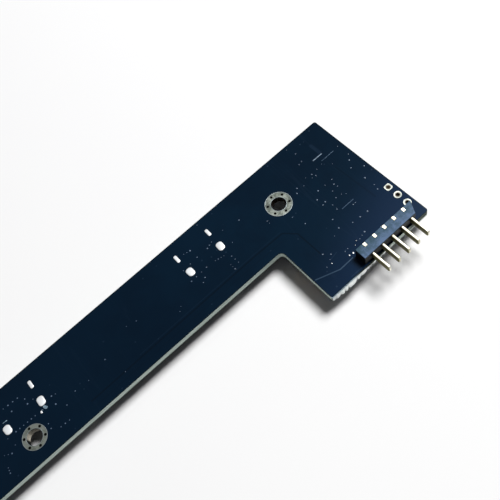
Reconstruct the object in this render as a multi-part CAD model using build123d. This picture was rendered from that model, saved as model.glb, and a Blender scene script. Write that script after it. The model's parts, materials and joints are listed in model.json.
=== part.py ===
from build123d import *
import math
import os

# Printer extruder board: an L-shaped printed circuit board that lies solder side up.
# Frame: origin in the head mounting hole at the solder face, +X along the arm towards the head,
# +Y towards the long straight edge, +Z out of the solder face. The components hang below.
# All sizes in millimetres.

# ---- laminate -------------------------------------------------------------------------------
board_thickness = 1.6
board_length = 97.0
head_hole_to_head_end = 18.8
head_hole_to_straight_edge = 9.4
arm_width = 17.8
head_width = 25.6
head_depth = 31.8
outer_corner_radius = 0.5
notch_corner_radius = 1.0

# ---- screw holes and the tinned lands round them --------------------------------------------
screw_hole_diameter = 3.2
head_land_diameter = 5.7
head_via_circle_diameter = 4.5
arm_land_diameter = 5.0
arm_via_circle_diameter = 4.15
land_thickness = 0.05
stitch_via_count = 6
stitch_via_sides = 8
stitch_via_diameter = 0.45
arm_hole_to_arm_end = 14.3
arm_hole_to_straight_edge = 12.83

# ---- unpopulated serial pads ----------------------------------------------------------------
pin_pitch = 2.54
serial_pad_count = 3
serial_pad_diameter = 1.6
serial_pad_sides = 24
serial_hole_diameter = 0.8
serial_pads_to_head_end = 1.4
serial_pads_to_head_edge = 6.6
square_pad_width = 1.42
square_pad_corner_radius = 0.38

# ---- right-angle header ---------------------------------------------------------------------
contact_count = 5
header_middle_to_head_end = 9.28
housing_height = 2.54
housing_depth = 2.65
housing_left_margin = 2.05
housing_right_margin = 1.0
housing_end_slant = 1.4
housing_edge_setback = 0.35
housing_edge_radius = 0.12
contact_width = 0.64
contact_leg_depth = 0.83
contact_leg_setback = 0.12
contact_leg_proud = 0.1
contact_leg_tail = 1.3
contact_arm_height = 1.6
contact_arm_drop = 0.52
contact_arm_overhang = 4.05
contact_arm_bevel = 0.07
contact_tip_chamfer = 0.2
contact_clearance = 0.02
header_drill_diameter = 1.2
header_joint_diameter = 1.9
header_joint_height = 0.9
header_joint_wall = 0.06
header_joint_sides = 12

# ---- Type-C style receptacles ---------------------------------------------------------------
mid_port_to_head_hole = 18.35
end_port_to_arm_end = 15.0
port_width = 8.94
port_height = 3.2
port_corner_radius = 1.25
port_wall = 0.3
port_length = 8.65
port_base_depth = 3.2
port_base_overhang = 0.4
port_base_overhang_width = 7.6
tongue_width = 6.7
tongue_thickness = 0.7
tongue_length = 4.4
tongue_edge_radius = 0.25
contact_row_count = 12
contact_row_pitch = 0.5
contact_strip_width = 0.26
contact_strip_thickness = 0.05
contact_strip_length = 3.7
port_tail_length = 0.75
port_tail_thickness = 0.15
front_tab_spacing = 8.22
rear_tab_spacing = 7.84
front_tab_setback = 3.75
rear_tab_setback = 7.97
tab_width = 1.1
tab_slot_clearance = 0.05
front_joint_width = 0.7
front_joint_length = 1.82
front_joint_height = 0.16
rear_joint_width = 1.58
rear_joint_length = 2.1
rear_joint_height = 0.42
joint_side_slope = 38.0
joint_end_sides = 8
port_fit_clearance = 0.02

# ---- packages under the board ---------------------------------------------------------------
package_standoff = 0.1
package_draft = 0.25
pin_one_mark_depth = 0.1
pin_one_mark_diameter = 0.7
pin_one_mark_sides = 12
pin_one_mark_inset = 0.85
controller_size = 7.0
controller_height = 1.4
controller_to_head_end = 9.3
leads_per_side = 12
controller_lead_pitch = 0.5
controller_lead_width = 0.22
controller_lead_reach = 1.0
controller_lead_thickness = 0.15
small_outline_length = 4.9
small_outline_width = 3.9
small_outline_height = 1.5
small_outline_lead_pitch = 1.27
small_outline_lead_width = 0.42
small_outline_lead_reach = 1.05
small_outline_lead_thickness = 0.2
converter_to_serial_pads = 5.0
transceiver_to_straight_edge = 7.9
surge_array_length = 2.9
surge_array_width = 1.6
surge_array_height = 1.1
surge_array_lead_pitch = 0.95
surge_array_lead_width = 0.4
surge_array_lead_reach = 0.6
surge_array_lead_thickness = 0.15
surge_array_to_port_rear = 7.05
end_surge_array_offset = 7.5
regulator_length = 6.5
regulator_width = 3.5
regulator_height = 1.6
regulator_lead_pitch = 2.3
regulator_lead_width = 0.7
regulator_tab_width = 3.0
regulator_lead_reach = 1.7
regulator_lead_thickness = 0.25
regulator_to_straight_edge = 8.2
diode_length = 4.4
diode_width = 2.6
diode_height = 2.1
diode_lead_width = 1.45
diode_lead_thickness = 0.2
diode_wrap = 1.0
inductor_size = 6.6
inductor_corner_radius = 1.0
inductor_terminal_width = 2.6
inductor_terminal_depth = 1.2
inductor_terminal_thickness = 0.2
inductor_core_chamfer = 0.25
crystal_length = 3.2
crystal_width = 2.5
crystal_base_height = 0.4
crystal_lid_height = 0.35
crystal_lid_inset = 0.15
crystal_lid_corner_radius = 0.3
crystal_to_controller_x = 7.5
crystal_to_controller_y = -1.8

# ---- two-terminal chip parts: length, width, height, end band -------------------------------
small_chip_length = 1.6
small_chip_width = 0.8
small_chip_band = 0.32
resistor_height = 0.45
capacitor_height = 0.8
light_height = 0.6
power_capacitor_length = 3.2
power_capacitor_width = 2.5
power_capacitor_height = 1.9
power_capacitor_band = 0.5

# ---- gaps kept between neighbours on the component face -------------------------------------
chip_gap = 0.5
chip_row_pitch = 1.5
light_pitch = 3.0
light_to_straight_edge = 2.6
light_to_head_end = 3.4
light_to_resistor = 2.2
port_side_gap = 2.2
port_resistor_spacing = 1.4
port_resistor_to_port_rear = 3.95
end_port_resistor_offset = 4.6
power_row_to_solder = 0.38
power_pair_to_notch_edge = 0.65
power_pair_pitch = 4.0
inductor_to_power_pair = 0.75
controller_to_power_row = 9.1
pull_ups_to_controller = 9.1
pull_ups_left_of_controller = 1.5
pull_up_count = 4

# ---- places that follow from the driving sizes ----------------------------------------------
head_end_x = head_hole_to_head_end
arm_end_x = head_end_x - board_length
notch_x = head_end_x - head_width
straight_edge_y = head_hole_to_straight_edge
arm_edge_y = straight_edge_y - arm_width
head_edge_y = straight_edge_y - head_depth
solder_face_z = 0.0
component_face_z = solder_face_z - board_thickness
through_board = (component_face_z - 1, solder_face_z + 1)
arm_hole_x = arm_end_x + arm_hole_to_arm_end
arm_hole_y = straight_edge_y - arm_hole_to_straight_edge
screw_lands = [
    (0, 0, head_land_diameter, head_via_circle_diameter),
    (arm_hole_x, arm_hole_y, arm_land_diameter, arm_via_circle_diameter),
]

mid_port_x = -mid_port_to_head_hole
end_port_x = arm_end_x + end_port_to_arm_end
port_mouth_y = straight_edge_y
port_rear_y = port_mouth_y - port_length
port_middle_z = component_face_z - port_height / 2

serial_pads_x = head_end_x - serial_pads_to_head_end
serial_pads_middle_y = head_edge_y + serial_pads_to_head_edge
header_middle_x = head_end_x - header_middle_to_head_end
header_half_row = pin_pitch * (contact_count - 1) / 2
housing_front_y = head_edge_y + housing_edge_setback
housing_back_y = housing_front_y + housing_depth
leg_back_y = housing_back_y - contact_leg_setback
leg_middle_y = leg_back_y - contact_leg_depth / 2
arm_top_z = solder_face_z + housing_height - contact_arm_drop
leg_heights = (component_face_z - contact_leg_tail, solder_face_z + housing_height + contact_leg_proud)

converter_x = serial_pads_x - converter_to_serial_pads
converter_half_depth = small_outline_width / 2 + small_outline_lead_reach
power_row_edge_y = leg_middle_y + header_joint_diameter / 2 + power_row_to_solder
converter_y = power_row_edge_y + converter_half_depth
power_pair_x = notch_x + power_pair_to_notch_edge + power_capacitor_width / 2
inductor_x = power_pair_x + (power_capacitor_width + inductor_size) / 2 + inductor_to_power_pair
inductor_y = power_row_edge_y + inductor_size / 2
diode_x = (inductor_x + inductor_size / 2 + converter_x - small_outline_length / 2) / 2
diode_y = converter_y
controller_x = head_end_x - controller_to_head_end
controller_y = converter_y + controller_to_power_row
controller_reach = controller_size / 2 + controller_lead_reach
crystal_x = controller_x - crystal_to_controller_x
crystal_y = controller_y + crystal_to_controller_y
pull_ups_x = controller_x - pull_ups_left_of_controller
pull_ups_y = controller_y + pull_ups_to_controller

small_chip_step = chip_gap + small_chip_width / 2
regulator_step = regulator_length / 2 + chip_gap + power_capacitor_width / 2
regulator_reach = regulator_step + power_capacitor_width / 2
regulator_x = end_port_x + port_width / 2 + port_side_gap + regulator_reach
regulator_y = straight_edge_y - regulator_to_straight_edge
transceiver_step = small_outline_length / 2 + small_chip_step
transceiver_reach = transceiver_step + small_chip_width / 2
transceiver_x = mid_port_x - port_width / 2 - port_side_gap - transceiver_reach
transceiver_y = straight_edge_y - transceiver_to_straight_edge
surge_array_y = port_rear_y - surge_array_to_port_rear


def slab(x_range, y_range, z_range):
    """A block between two X, two Y and two Z values."""
    centre = [(low + high) / 2 for low, high in (x_range, y_range, z_range)]
    size = [abs(high - low) for low, high in (x_range, y_range, z_range)]
    return Pos(*centre) * Box(*size)


def centred_slab(x, y, length, width, z_range):
    """A block centred on a point of the board, between two heights."""
    return slab((x - length / 2, x + length / 2), (y - width / 2, y + width / 2), z_range)


def rod(x, y, diameter, z_range):
    """An upright cylinder between two heights."""
    middle_z = (z_range[0] + z_range[1]) / 2
    return Pos(x, y, middle_z) * Cylinder(diameter / 2, abs(z_range[1] - z_range[0]))


def row_of(count, pitch):
    """Offsets of a centred row of equally spaced places."""
    return [(index - (count - 1) / 2) * pitch for index in range(count)]


def contact_places():
    """X of each header contact."""
    return [header_middle_x + offset for offset in row_of(contact_count, pin_pitch)]


def serial_pad_places():
    """Centre of each serial pad, from the square first pad down the row."""
    offsets = row_of(serial_pad_count, pin_pitch)
    return [(serial_pads_x, serial_pads_middle_y - offset) for offset in offsets]


def stitch_via_places(x, y, circle_diameter):
    """Centres of the small holes through one mounting land."""
    radius = circle_diameter / 2
    angles = [math.radians(30 + 360 / stitch_via_count * index) for index in range(stitch_via_count)]
    return [(x + radius * math.cos(angle), y + radius * math.sin(angle)) for angle in angles]


def tab_places(port_x):
    """Front and rear shell tab centres of one receptacle, with which kind each is."""
    places = []
    for side in (-1, 1):
        places.append(("front", port_x + side * front_tab_spacing / 2, port_mouth_y - front_tab_setback))
        places.append(("rear", port_x + side * rear_tab_spacing / 2, port_mouth_y - rear_tab_setback))
    return places


# ---- bare board and its plating -------------------------------------------------------------
def board_outline():
    """The L outline, with rounded outer corners and the cutter's radius in the notch."""
    corners = [
        (arm_end_x, straight_edge_y),
        (head_end_x, straight_edge_y),
        (head_end_x, head_edge_y),
        (notch_x, head_edge_y),
        (notch_x, arm_edge_y),
        (arm_end_x, arm_edge_y),
    ]
    outline = make_face(Polyline(*corners, close=True))
    notch_point = Vector(notch_x, arm_edge_y, 0)
    notch = [v for v in outline.vertices() if (Vector(*v) - notch_point).length < 0.01]
    outline = fillet(notch, notch_corner_radius)
    tips = [Vector(x, y, 0) for x, y in corners if (x, y) != (notch_x, arm_edge_y)]
    outer = [v for v in outline.vertices() if any((Vector(*v) - tip).length < 0.01 for tip in tips)]
    return fillet(outer, outer_corner_radius)


def polygon_rod(x, y, diameter, sides, z_range):
    """An upright prism with a regular outline between two heights."""
    outline = RegularPolygon(diameter / 2, sides)
    return Pos(x, y, z_range[0]) * extrude(outline, z_range[1] - z_range[0], dir=(0, 0, 1))


def stitch_via_cutters(x, y, circle_diameter):
    """The small holes through one mounting land, as drilling tools."""
    return [polygon_rod(via_x, via_y, stitch_via_diameter, stitch_via_sides, through_board)
            for via_x, via_y in stitch_via_places(x, y, circle_diameter)]


def make_board():
    """The laminate with every drilled and routed hole."""
    board = Pos(0, 0, component_face_z) * extrude(board_outline(), board_thickness, dir=(0, 0, 1))
    cutters = []
    for x, y, _, via_circle in screw_lands:
        cutters.append(rod(x, y, screw_hole_diameter, through_board))
        cutters += stitch_via_cutters(x, y, via_circle)
    for x, y in serial_pad_places():
        cutters.append(rod(x, y, serial_hole_diameter, through_board))
    for x in contact_places():
        cutters.append(polygon_rod(x, leg_middle_y, header_drill_diameter, header_joint_sides, through_board))
    slot_width = port_wall + 2 * tab_slot_clearance
    slot_length = tab_width + 2 * tab_slot_clearance
    for port_x in (mid_port_x, end_port_x):
        for kind, x, y in tab_places(port_x):
            cutters.append(centred_slab(x, y, slot_width, slot_length, through_board))
    return board - cutters


def land_faces():
    """Heights of the copper on the solder face and on the component face."""
    return [
        (solder_face_z, solder_face_z + land_thickness),
        (component_face_z - land_thickness, component_face_z),
    ]


def mounting_lands(x, y, diameter, via_circle):
    """The two tinned lands of one screw hole, drilled by its ring of stitching vias."""
    hole = rod(x, y, screw_hole_diameter, through_board)
    return [rod(x, y, diameter, heights) - [hole] - stitch_via_cutters(x, y, via_circle)
            for heights in land_faces()]


def serial_pads(index, x, y):
    """The two pads of one open plated hole; the first of the row is square."""
    hole = rod(x, y, serial_hole_diameter, through_board)
    if index > 0:
        return [polygon_rod(x, y, serial_pad_diameter, serial_pad_sides, heights) - hole
                for heights in land_faces()]
    square = RectangleRounded(square_pad_width, square_pad_width, square_pad_corner_radius)
    return [Pos(x, y, low) * extrude(square, high - low, dir=(0, 0, 1)) - hole
            for low, high in land_faces()]


# ---- header ---------------------------------------------------------------------------------
def make_housing():
    """The header's moulding: a bar with one end cut at a slant and a passage for each contact."""
    left_x = header_middle_x - header_half_row - housing_left_margin
    right_x = header_middle_x + header_half_row + housing_right_margin
    plan = make_face(
        Polyline(
            (left_x, housing_front_y),
            (right_x, housing_front_y),
            (right_x + housing_end_slant, housing_back_y),
            (left_x, housing_back_y),
            close=True,
        )
    )
    housing = Pos(0, 0, solder_face_z) * extrude(plan, housing_height, dir=(0, 0, 1))
    top_edges = housing.edges().group_by(Axis.Z)[-1]
    housing = fillet(top_edges, housing_edge_radius)
    half_width = contact_width / 2 + contact_clearance
    leg_front_y = leg_middle_y - contact_leg_depth / 2 - contact_clearance
    cutters = []
    for x in contact_places():
        sides = (x - half_width, x + half_width)
        notch_y = (leg_front_y, housing_back_y + 1)
        cutters.append(slab(sides, notch_y, (solder_face_z - 1, solder_face_z + housing_height + 1)))
        heights = (arm_top_z - contact_arm_height - contact_clearance, arm_top_z + contact_clearance)
        cutters.append(slab(sides, (housing_front_y - 1, leg_middle_y), heights))
    return housing - cutters


def header_contact(x):
    """One stamped contact: an upright leg through the board and a flat arm over its edge."""
    sides = (x - contact_width / 2, x + contact_width / 2)
    leg = slab(sides, (leg_back_y - contact_leg_depth, leg_back_y), leg_heights)
    arm = slab(sides, (head_edge_y - contact_arm_overhang, leg_middle_y),
               (arm_top_z - contact_arm_height, arm_top_z))
    arm = chamfer(arm.faces().sort_by(Axis.Y)[0].edges(), contact_tip_chamfer)
    arm = chamfer(arm.edges().filter_by(Axis.Y), contact_arm_bevel)
    return leg + arm


def header_joint(x):
    """The solder of one contact: a filled hole and a cone round the leg's tail."""
    neck_diameter = math.hypot(contact_width, contact_leg_depth) + 2 * header_joint_wall
    foot = RegularPolygon(header_joint_diameter / 2, header_joint_sides)
    neck = RegularPolygon(neck_diameter / 2, header_joint_sides)
    tip_z = component_face_z - header_joint_height
    cone = loft([Pos(0, 0, tip_z) * neck, Pos(0, 0, component_face_z) * foot])
    filling = polygon_rod(x, leg_middle_y, header_drill_diameter, header_joint_sides,
                          (component_face_z, solder_face_z - land_thickness))
    leg_space = centred_slab(x, leg_middle_y, contact_width, contact_leg_depth, leg_heights)
    return Pos(x, leg_middle_y, 0) * cone + filling - leg_space


# ---- receptacles ----------------------------------------------------------------------------
def port_section(port_x, inset):
    """The receptacle's rounded section across Y, drawn inwards by an inset."""
    width = port_width - 2 * inset
    height = port_height - 2 * inset
    outline = RectangleRounded(width, height, port_corner_radius - inset)
    return Plane((port_x, 0, port_middle_z), x_dir=(1, 0, 0), z_dir=(0, 1, 0)) * outline


def port_tube(port_x, inset, y_range):
    """The section carried along Y between two places."""
    section = Pos(0, y_range[0], 0) * port_section(port_x, inset)
    return extrude(section, y_range[1] - y_range[0], dir=(0, 1, 0))


def port_shell(port_x):
    """The drawn steel shell, open at both ends, with four tabs that go up into the board."""
    shell = port_tube(port_x, 0, (port_rear_y, port_mouth_y))
    for kind, x, y in tab_places(port_x):
        shell += centred_slab(x, y, port_wall, tab_width, (port_middle_z, solder_face_z))
    shell -= port_tube(port_x, port_wall, (port_rear_y - 1, port_mouth_y + 1))
    lip = port_wall / 2
    flare = loft([
        Pos(0, port_mouth_y - lip, 0) * port_section(port_x, port_wall),
        Pos(0, port_mouth_y, 0) * port_section(port_x, port_wall - lip),
    ])
    return shell - flare


def port_insulator(port_x):
    """The moulded base that closes the shell's rear, with the tongue that carries the contacts."""
    front_y = port_rear_y + port_base_depth
    base = port_tube(port_x, port_wall + port_fit_clearance, (port_rear_y, front_y))
    heel_y = (port_rear_y - port_base_overhang, port_rear_y)
    heel_x = (port_x - port_base_overhang_width / 2, port_x + port_base_overhang_width / 2)
    heel = slab(heel_x, heel_y, (component_face_z - port_height + port_wall, component_face_z))
    tongue = slab((port_x - tongue_width / 2, port_x + tongue_width / 2), (front_y, front_y + tongue_length),
                  (port_middle_z - tongue_thickness / 2, port_middle_z + tongue_thickness / 2))
    tip = tongue.faces().sort_by(Axis.Y)[-1]
    tongue = fillet(tip.edges().filter_by(Axis.X), tongue_edge_radius)
    return base + heel + tongue


def port_contacts(port_x):
    """Contact strips on both faces of the tongue, and the row of tails soldered at the rear."""
    strips_y = (port_rear_y + port_base_depth, port_rear_y + port_base_depth + contact_strip_length)
    half = tongue_thickness / 2
    tails_y = (port_rear_y - port_base_overhang - port_tail_length, port_rear_y - port_base_overhang)
    pieces = []
    for offset in row_of(contact_row_count, contact_row_pitch):
        sides = (port_x + offset - contact_strip_width / 2, port_x + offset + contact_strip_width / 2)
        upper = (port_middle_z + half, port_middle_z + half + contact_strip_thickness)
        lower = (port_middle_z - half - contact_strip_thickness, port_middle_z - half)
        pieces.append(slab(sides, strips_y, upper))
        pieces.append(slab(sides, strips_y, lower))
        pieces.append(slab(sides, tails_y, (component_face_z - port_tail_thickness, component_face_z)))
    return pieces


def slot_outline(width, length, end_sides):
    """A slot along Y whose round ends have a few straight sides each."""
    radius = width / 2
    reach = (length - width) / 2
    points = []
    for end, start_angle in ((1, 0), (-1, 180)):
        for step in range(end_sides + 1):
            angle = math.radians(start_angle + 180 * step / end_sides)
            points.append((radius * math.cos(angle), end * reach + radius * math.sin(angle)))
    return make_face(Polyline(*points, close=True))


def port_joint(kind, x, y):
    """The mound of solder that covers one tab where it comes up through the board."""
    front = kind == "front"
    width = front_joint_width if front else rear_joint_width
    length = front_joint_length if front else rear_joint_length
    height = front_joint_height if front else rear_joint_height
    foot = Pos(x, y, solder_face_z) * slot_outline(width, length, joint_end_sides)
    return extrude(foot, height, dir=(0, 0, 1), taper=joint_side_slope)


# ---- moulded packages with bent leads -------------------------------------------------------
def drafted_body(length, width, height):
    """A moulded body hung under the origin: its sides lean inwards from the parting line."""
    parting_z = -package_standoff - height / 2
    lean = package_draft * height / 2
    mid = Pos(0, 0, parting_z) * Rectangle(length, width)
    top = Pos(0, 0, -package_standoff) * Rectangle(length - 2 * lean, width - 2 * lean)
    low = Pos(0, 0, -package_standoff - height) * Rectangle(length - 2 * lean, width - 2 * lean)
    return loft([top, mid]) + loft([mid, low])


def mark_pin_one(body):
    """The body with a shallow round mark in its lower face, near the corner of its first lead."""
    box = body.bounding_box()
    heights = (box.min.Z - pin_one_mark_depth, box.min.Z + pin_one_mark_depth)
    return body - polygon_rod(box.min.X + pin_one_mark_inset, box.max.Y - pin_one_mark_inset,
                              pin_one_mark_diameter, pin_one_mark_sides, heights)


def gull_lead(height, reach, width, thickness):
    """One bent lead hung under the origin, from the parting line out along +X to its foot."""
    parting_z = -package_standoff - height / 2
    shoulder = reach * 0.25
    knee = reach * 0.5
    half = thickness / 2
    section = make_face(Plane.XZ * Polyline(
        (0, parting_z - half),
        (shoulder + half, parting_z - half),
        (knee + half, -thickness),
        (reach, -thickness),
        (reach, 0),
        (knee - half, 0),
        (shoulder - half, parting_z + half),
        (0, parting_z + half),
        close=True,
    ))
    return Pos(0, width / 2, 0) * extrude(section, width, dir=(0, -1, 0))


def lead_bank(places, edge, turn, lead):
    """Copies of one lead along the side of a body that faces the given turn about Z."""
    return [Rot(0, 0, turn) * Pos(edge, place, 0) * lead for place in places]


def quad_package(size, height, per_side, pitch, lead_width, reach, thickness):
    """A square body with leads on its four sides."""
    lead = gull_lead(height, reach, lead_width, thickness)
    leads = []
    for turn in (0, 90, 180, 270):
        leads += lead_bank(row_of(per_side, pitch), size / 2, turn, lead)
    return mark_pin_one(drafted_body(size, size, height)), leads


def dual_package(length, width, height, per_side, pitch, lead_width, reach, thickness):
    """An oblong body with leads on its two long sides."""
    lead = gull_lead(height, reach, lead_width, thickness)
    leads = []
    for turn in (90, 270):
        leads += lead_bank(row_of(per_side, pitch), width / 2, turn, lead)
    return drafted_body(length, width, height), leads


def small_outline_package():
    """The eight-lead package shared by the converter and the transceiver."""
    body, leads = dual_package(small_outline_length, small_outline_width, small_outline_height, 4,
                               small_outline_lead_pitch, small_outline_lead_width,
                               small_outline_lead_reach, small_outline_lead_thickness)
    return mark_pin_one(body), leads


def surge_array_package():
    """The six-lead package that guards one receptacle."""
    return dual_package(surge_array_length, surge_array_width, surge_array_height, 3,
                        surge_array_lead_pitch, surge_array_lead_width, surge_array_lead_reach,
                        surge_array_lead_thickness)


def regulator_package():
    """The regulator: three leads on one side and its wide heat tab on the other."""
    narrow = gull_lead(regulator_height, regulator_lead_reach, regulator_lead_width,
                       regulator_lead_thickness)
    wide = gull_lead(regulator_height, regulator_lead_reach, regulator_tab_width,
                     regulator_lead_thickness)
    leads = lead_bank(row_of(3, regulator_lead_pitch), regulator_width / 2, 270, narrow)
    leads += lead_bank([0], regulator_width / 2, 90, wide)
    return drafted_body(regulator_length, regulator_width, regulator_height), leads


def diode_package():
    """The rectifier: a body with two broad straps bent round its ends."""
    body = drafted_body(diode_length, diode_width, diode_height)
    parting_z = -package_standoff - diode_height / 2
    straps = []
    for side in (-1, 1):
        outer = side * (diode_length / 2 + diode_lead_thickness)
        wall = side * diode_length / 2
        foot = side * (diode_length / 2 - diode_wrap)
        half = diode_lead_width / 2
        upright = slab((wall, outer), (-half, half), (parting_z - diode_lead_thickness, 0))
        sole = slab((foot, outer), (-half, half), (-package_standoff, 0))
        straps.append(upright + sole)
    return body, straps


def place_below(x, y, turn, shapes):
    """Shapes drawn under the origin, moved to a place on the component face and turned."""
    return [Pos(x, y, component_face_z) * Rot(0, 0, turn) * shape for shape in shapes]


# ---- inductor and crystal -------------------------------------------------------------------
def make_inductor():
    """The moulded power inductor, as tall as the receptacles, and its two wrapped terminals."""
    depth = inductor_terminal_thickness
    plan = RectangleRounded(inductor_size, inductor_size - 2 * depth, inductor_corner_radius)
    core = Pos(0, 0, -port_height) * extrude(plan, port_height - depth, dir=(0, 0, 1))
    core = chamfer(core.edges().group_by(Axis.Z)[0], inductor_core_chamfer)
    half = inductor_terminal_width / 2
    terminals = []
    for side in (-1, 1):
        outer = side * inductor_size / 2
        wall = outer - side * depth
        inner = outer - side * inductor_terminal_depth
        sole = slab((-half, half), (inner, outer), (-depth, 0))
        strap = slab((-half, half), (wall, outer), (-port_height / 2, 0))
        terminals.append(sole + strap)
    return core, terminals


def make_crystal():
    """The crystal: a ceramic base and a metal lid."""
    base = slab((-crystal_length / 2, crystal_length / 2), (-crystal_width / 2, crystal_width / 2),
                (-crystal_base_height, 0))
    lid_plan = RectangleRounded(crystal_length - 2 * crystal_lid_inset,
                                crystal_width - 2 * crystal_lid_inset, crystal_lid_corner_radius)
    lid = Pos(0, 0, -crystal_base_height - crystal_lid_height) * extrude(
        lid_plan, crystal_lid_height, dir=(0, 0, 1))
    return base, lid


# ---- two-terminal chips ---------------------------------------------------------------------
def chip_part(length, width, height, band):
    """A chip's body and its two metal end caps, lying along X under the origin."""
    body = slab((-length / 2 + band, length / 2 - band), (-width / 2, width / 2), (-height, 0))
    ends = [slab((side * (length / 2 - band), side * length / 2), (-width / 2, width / 2), (-height, 0))
            for side in (-1, 1)]
    return body, ends


def place_chips(places, length, width, height, band):
    """Bodies and end caps of one kind of chip at a list of places, each an x, a y and a turn."""
    bodies = []
    caps = []
    for x, y, turn in places:
        body, ends = chip_part(length, width, height, band)
        bodies += place_below(x, y, turn, [body])
        caps += place_below(x, y, turn, ends)
    return bodies, caps


def pull_up_places():
    """The row of pull-up resistors over the controller."""
    return [(pull_ups_x + offset, pull_ups_y, 90) for offset in row_of(pull_up_count, chip_row_pitch)]


def light_places():
    """The two status lights near the head's outer corner."""
    first_x = head_end_x - light_to_head_end
    y = straight_edge_y - light_to_straight_edge
    return [(first_x, y, 0), (first_x - light_pitch, y, 0)]


def resistor_places():
    """Pull-ups, a pair beside each receptacle, one by each light and one on the bus."""
    places = pull_up_places()
    places += [(mid_port_x + offset, port_rear_y - port_resistor_to_port_rear, 90)
               for offset in row_of(2, port_resistor_spacing)]
    places += [(end_port_x + end_port_resistor_offset + offset, port_rear_y - port_resistor_to_port_rear, 90)
               for offset in (0, port_resistor_spacing)]
    places += [(x, y - light_to_resistor, turn) for x, y, turn in light_places()]
    bus_y = transceiver_y + small_outline_width / 2 + small_outline_lead_reach + small_chip_step
    places.append((transceiver_x, bus_y, 0))
    return places


def capacitor_places():
    """Decoupling beside the controller, load capacitors by the crystal, a pair by the transceiver."""
    beside = controller_reach + small_chip_step
    return [
        (controller_x + beside, controller_y, 90),
        (controller_x, controller_y + beside, 0),
        (controller_x - chip_gap, controller_y - beside, 0),
        (crystal_x, crystal_y - crystal_length / 2 - small_chip_step, 0),
        (crystal_x - crystal_width / 2 - small_chip_step, crystal_y, 90),
        (transceiver_x + transceiver_step, transceiver_y, 90),
        (transceiver_x - transceiver_step, transceiver_y, 90),
    ]


def power_capacitor_places():
    """Input pair beside the inductor and one each side of the regulator."""
    places = [(power_pair_x, inductor_y + offset, 90) for offset in row_of(2, power_pair_pitch)]
    places += [(regulator_x + side * regulator_step, regulator_y, 90) for side in (-1, 1)]
    return places


# ---- everything -----------------------------------------------------------------------------
def build_nodes():
    """Every node's name with its list of solids."""
    nodes = {
        "board": [make_board()],
        "mounting_lands": [land for places in screw_lands for land in mounting_lands(*places)],
        "serial_pads": [pad for index, (x, y) in enumerate(serial_pad_places())
                        for pad in serial_pads(index, x, y)],
        "header_housing": [make_housing()],
        "header_contacts": [header_contact(x) for x in contact_places()],
        "header_solder": [header_joint(x) for x in contact_places()],
    }
    for name, port_x in (("mid_port", mid_port_x), ("end_port", end_port_x)):
        nodes[name + "_shell"] = [port_shell(port_x)]
        nodes[name + "_insulator"] = [port_insulator(port_x)]
        nodes[name + "_contacts"] = port_contacts(port_x)
        nodes[name + "_solder"] = [port_joint(kind, x, y) for kind, x, y in tab_places(port_x)]

    packages = {
        "controller": (controller_x, controller_y, 0, quad_package(
            controller_size, controller_height, leads_per_side, controller_lead_pitch,
            controller_lead_width, controller_lead_reach, controller_lead_thickness)),
        "converter": (converter_x, converter_y, 0, small_outline_package()),
        "transceiver": (transceiver_x, transceiver_y, 0, small_outline_package()),
        "mid_surge_array": (mid_port_x, surge_array_y, 0, surge_array_package()),
        "end_surge_array": (end_port_x + end_surge_array_offset, surge_array_y, 0, surge_array_package()),
        "regulator": (regulator_x, regulator_y, 0, regulator_package()),
        "diode": (diode_x, diode_y, 90, diode_package()),
    }
    for name, (x, y, turn, (body, leads)) in packages.items():
        nodes[name + "_body"] = place_below(x, y, turn, [body])
        nodes[name + "_leads"] = place_below(x, y, turn, leads)

    core, terminals = make_inductor()
    nodes["inductor_core"] = place_below(inductor_x, inductor_y, 0, [core])
    nodes["inductor_terminals"] = place_below(inductor_x, inductor_y, 0, terminals)
    base, lid = make_crystal()
    nodes["crystal_base"] = place_below(crystal_x, crystal_y, 90, [base])
    nodes["crystal_lid"] = place_below(crystal_x, crystal_y, 90, [lid])

    chips = {
        "resistor": (resistor_places(), small_chip_length, small_chip_width, resistor_height,
                     small_chip_band),
        "capacitor": (capacitor_places(), small_chip_length, small_chip_width, capacitor_height,
                      small_chip_band),
        "status_light": (light_places(), small_chip_length, small_chip_width, light_height,
                         small_chip_band),
        "power_capacitor": (power_capacitor_places(), power_capacitor_length, power_capacitor_width,
                            power_capacitor_height, power_capacitor_band),
    }
    for name, sizes in chips.items():
        nodes[name + "_bodies"], nodes[name + "_ends"] = place_chips(*sizes)
    return nodes


def write_node(name, solids):
    """Write one node's solids to its own STEP file."""
    shape = solids[0] if len(solids) == 1 else Compound(children=solids)
    export_step(shape, os.path.join("parts", name + ".step"))


os.makedirs("parts", exist_ok=True)
for node_name, node_solids in build_nodes().items():
    write_node(node_name, node_solids)
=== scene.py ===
"""Looks of the printer extruder board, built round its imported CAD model.

The board lies solder side up. Sizes are millimetres unless a name says otherwise, and a mesh is
scaled to metres when it becomes a piece.
"""

import json
import logging
import math
from dataclasses import dataclass, field
from enum import Enum
from functools import cached_property, reduce

import bpy
import numpy as np
from mathutils import Matrix, Vector


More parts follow.
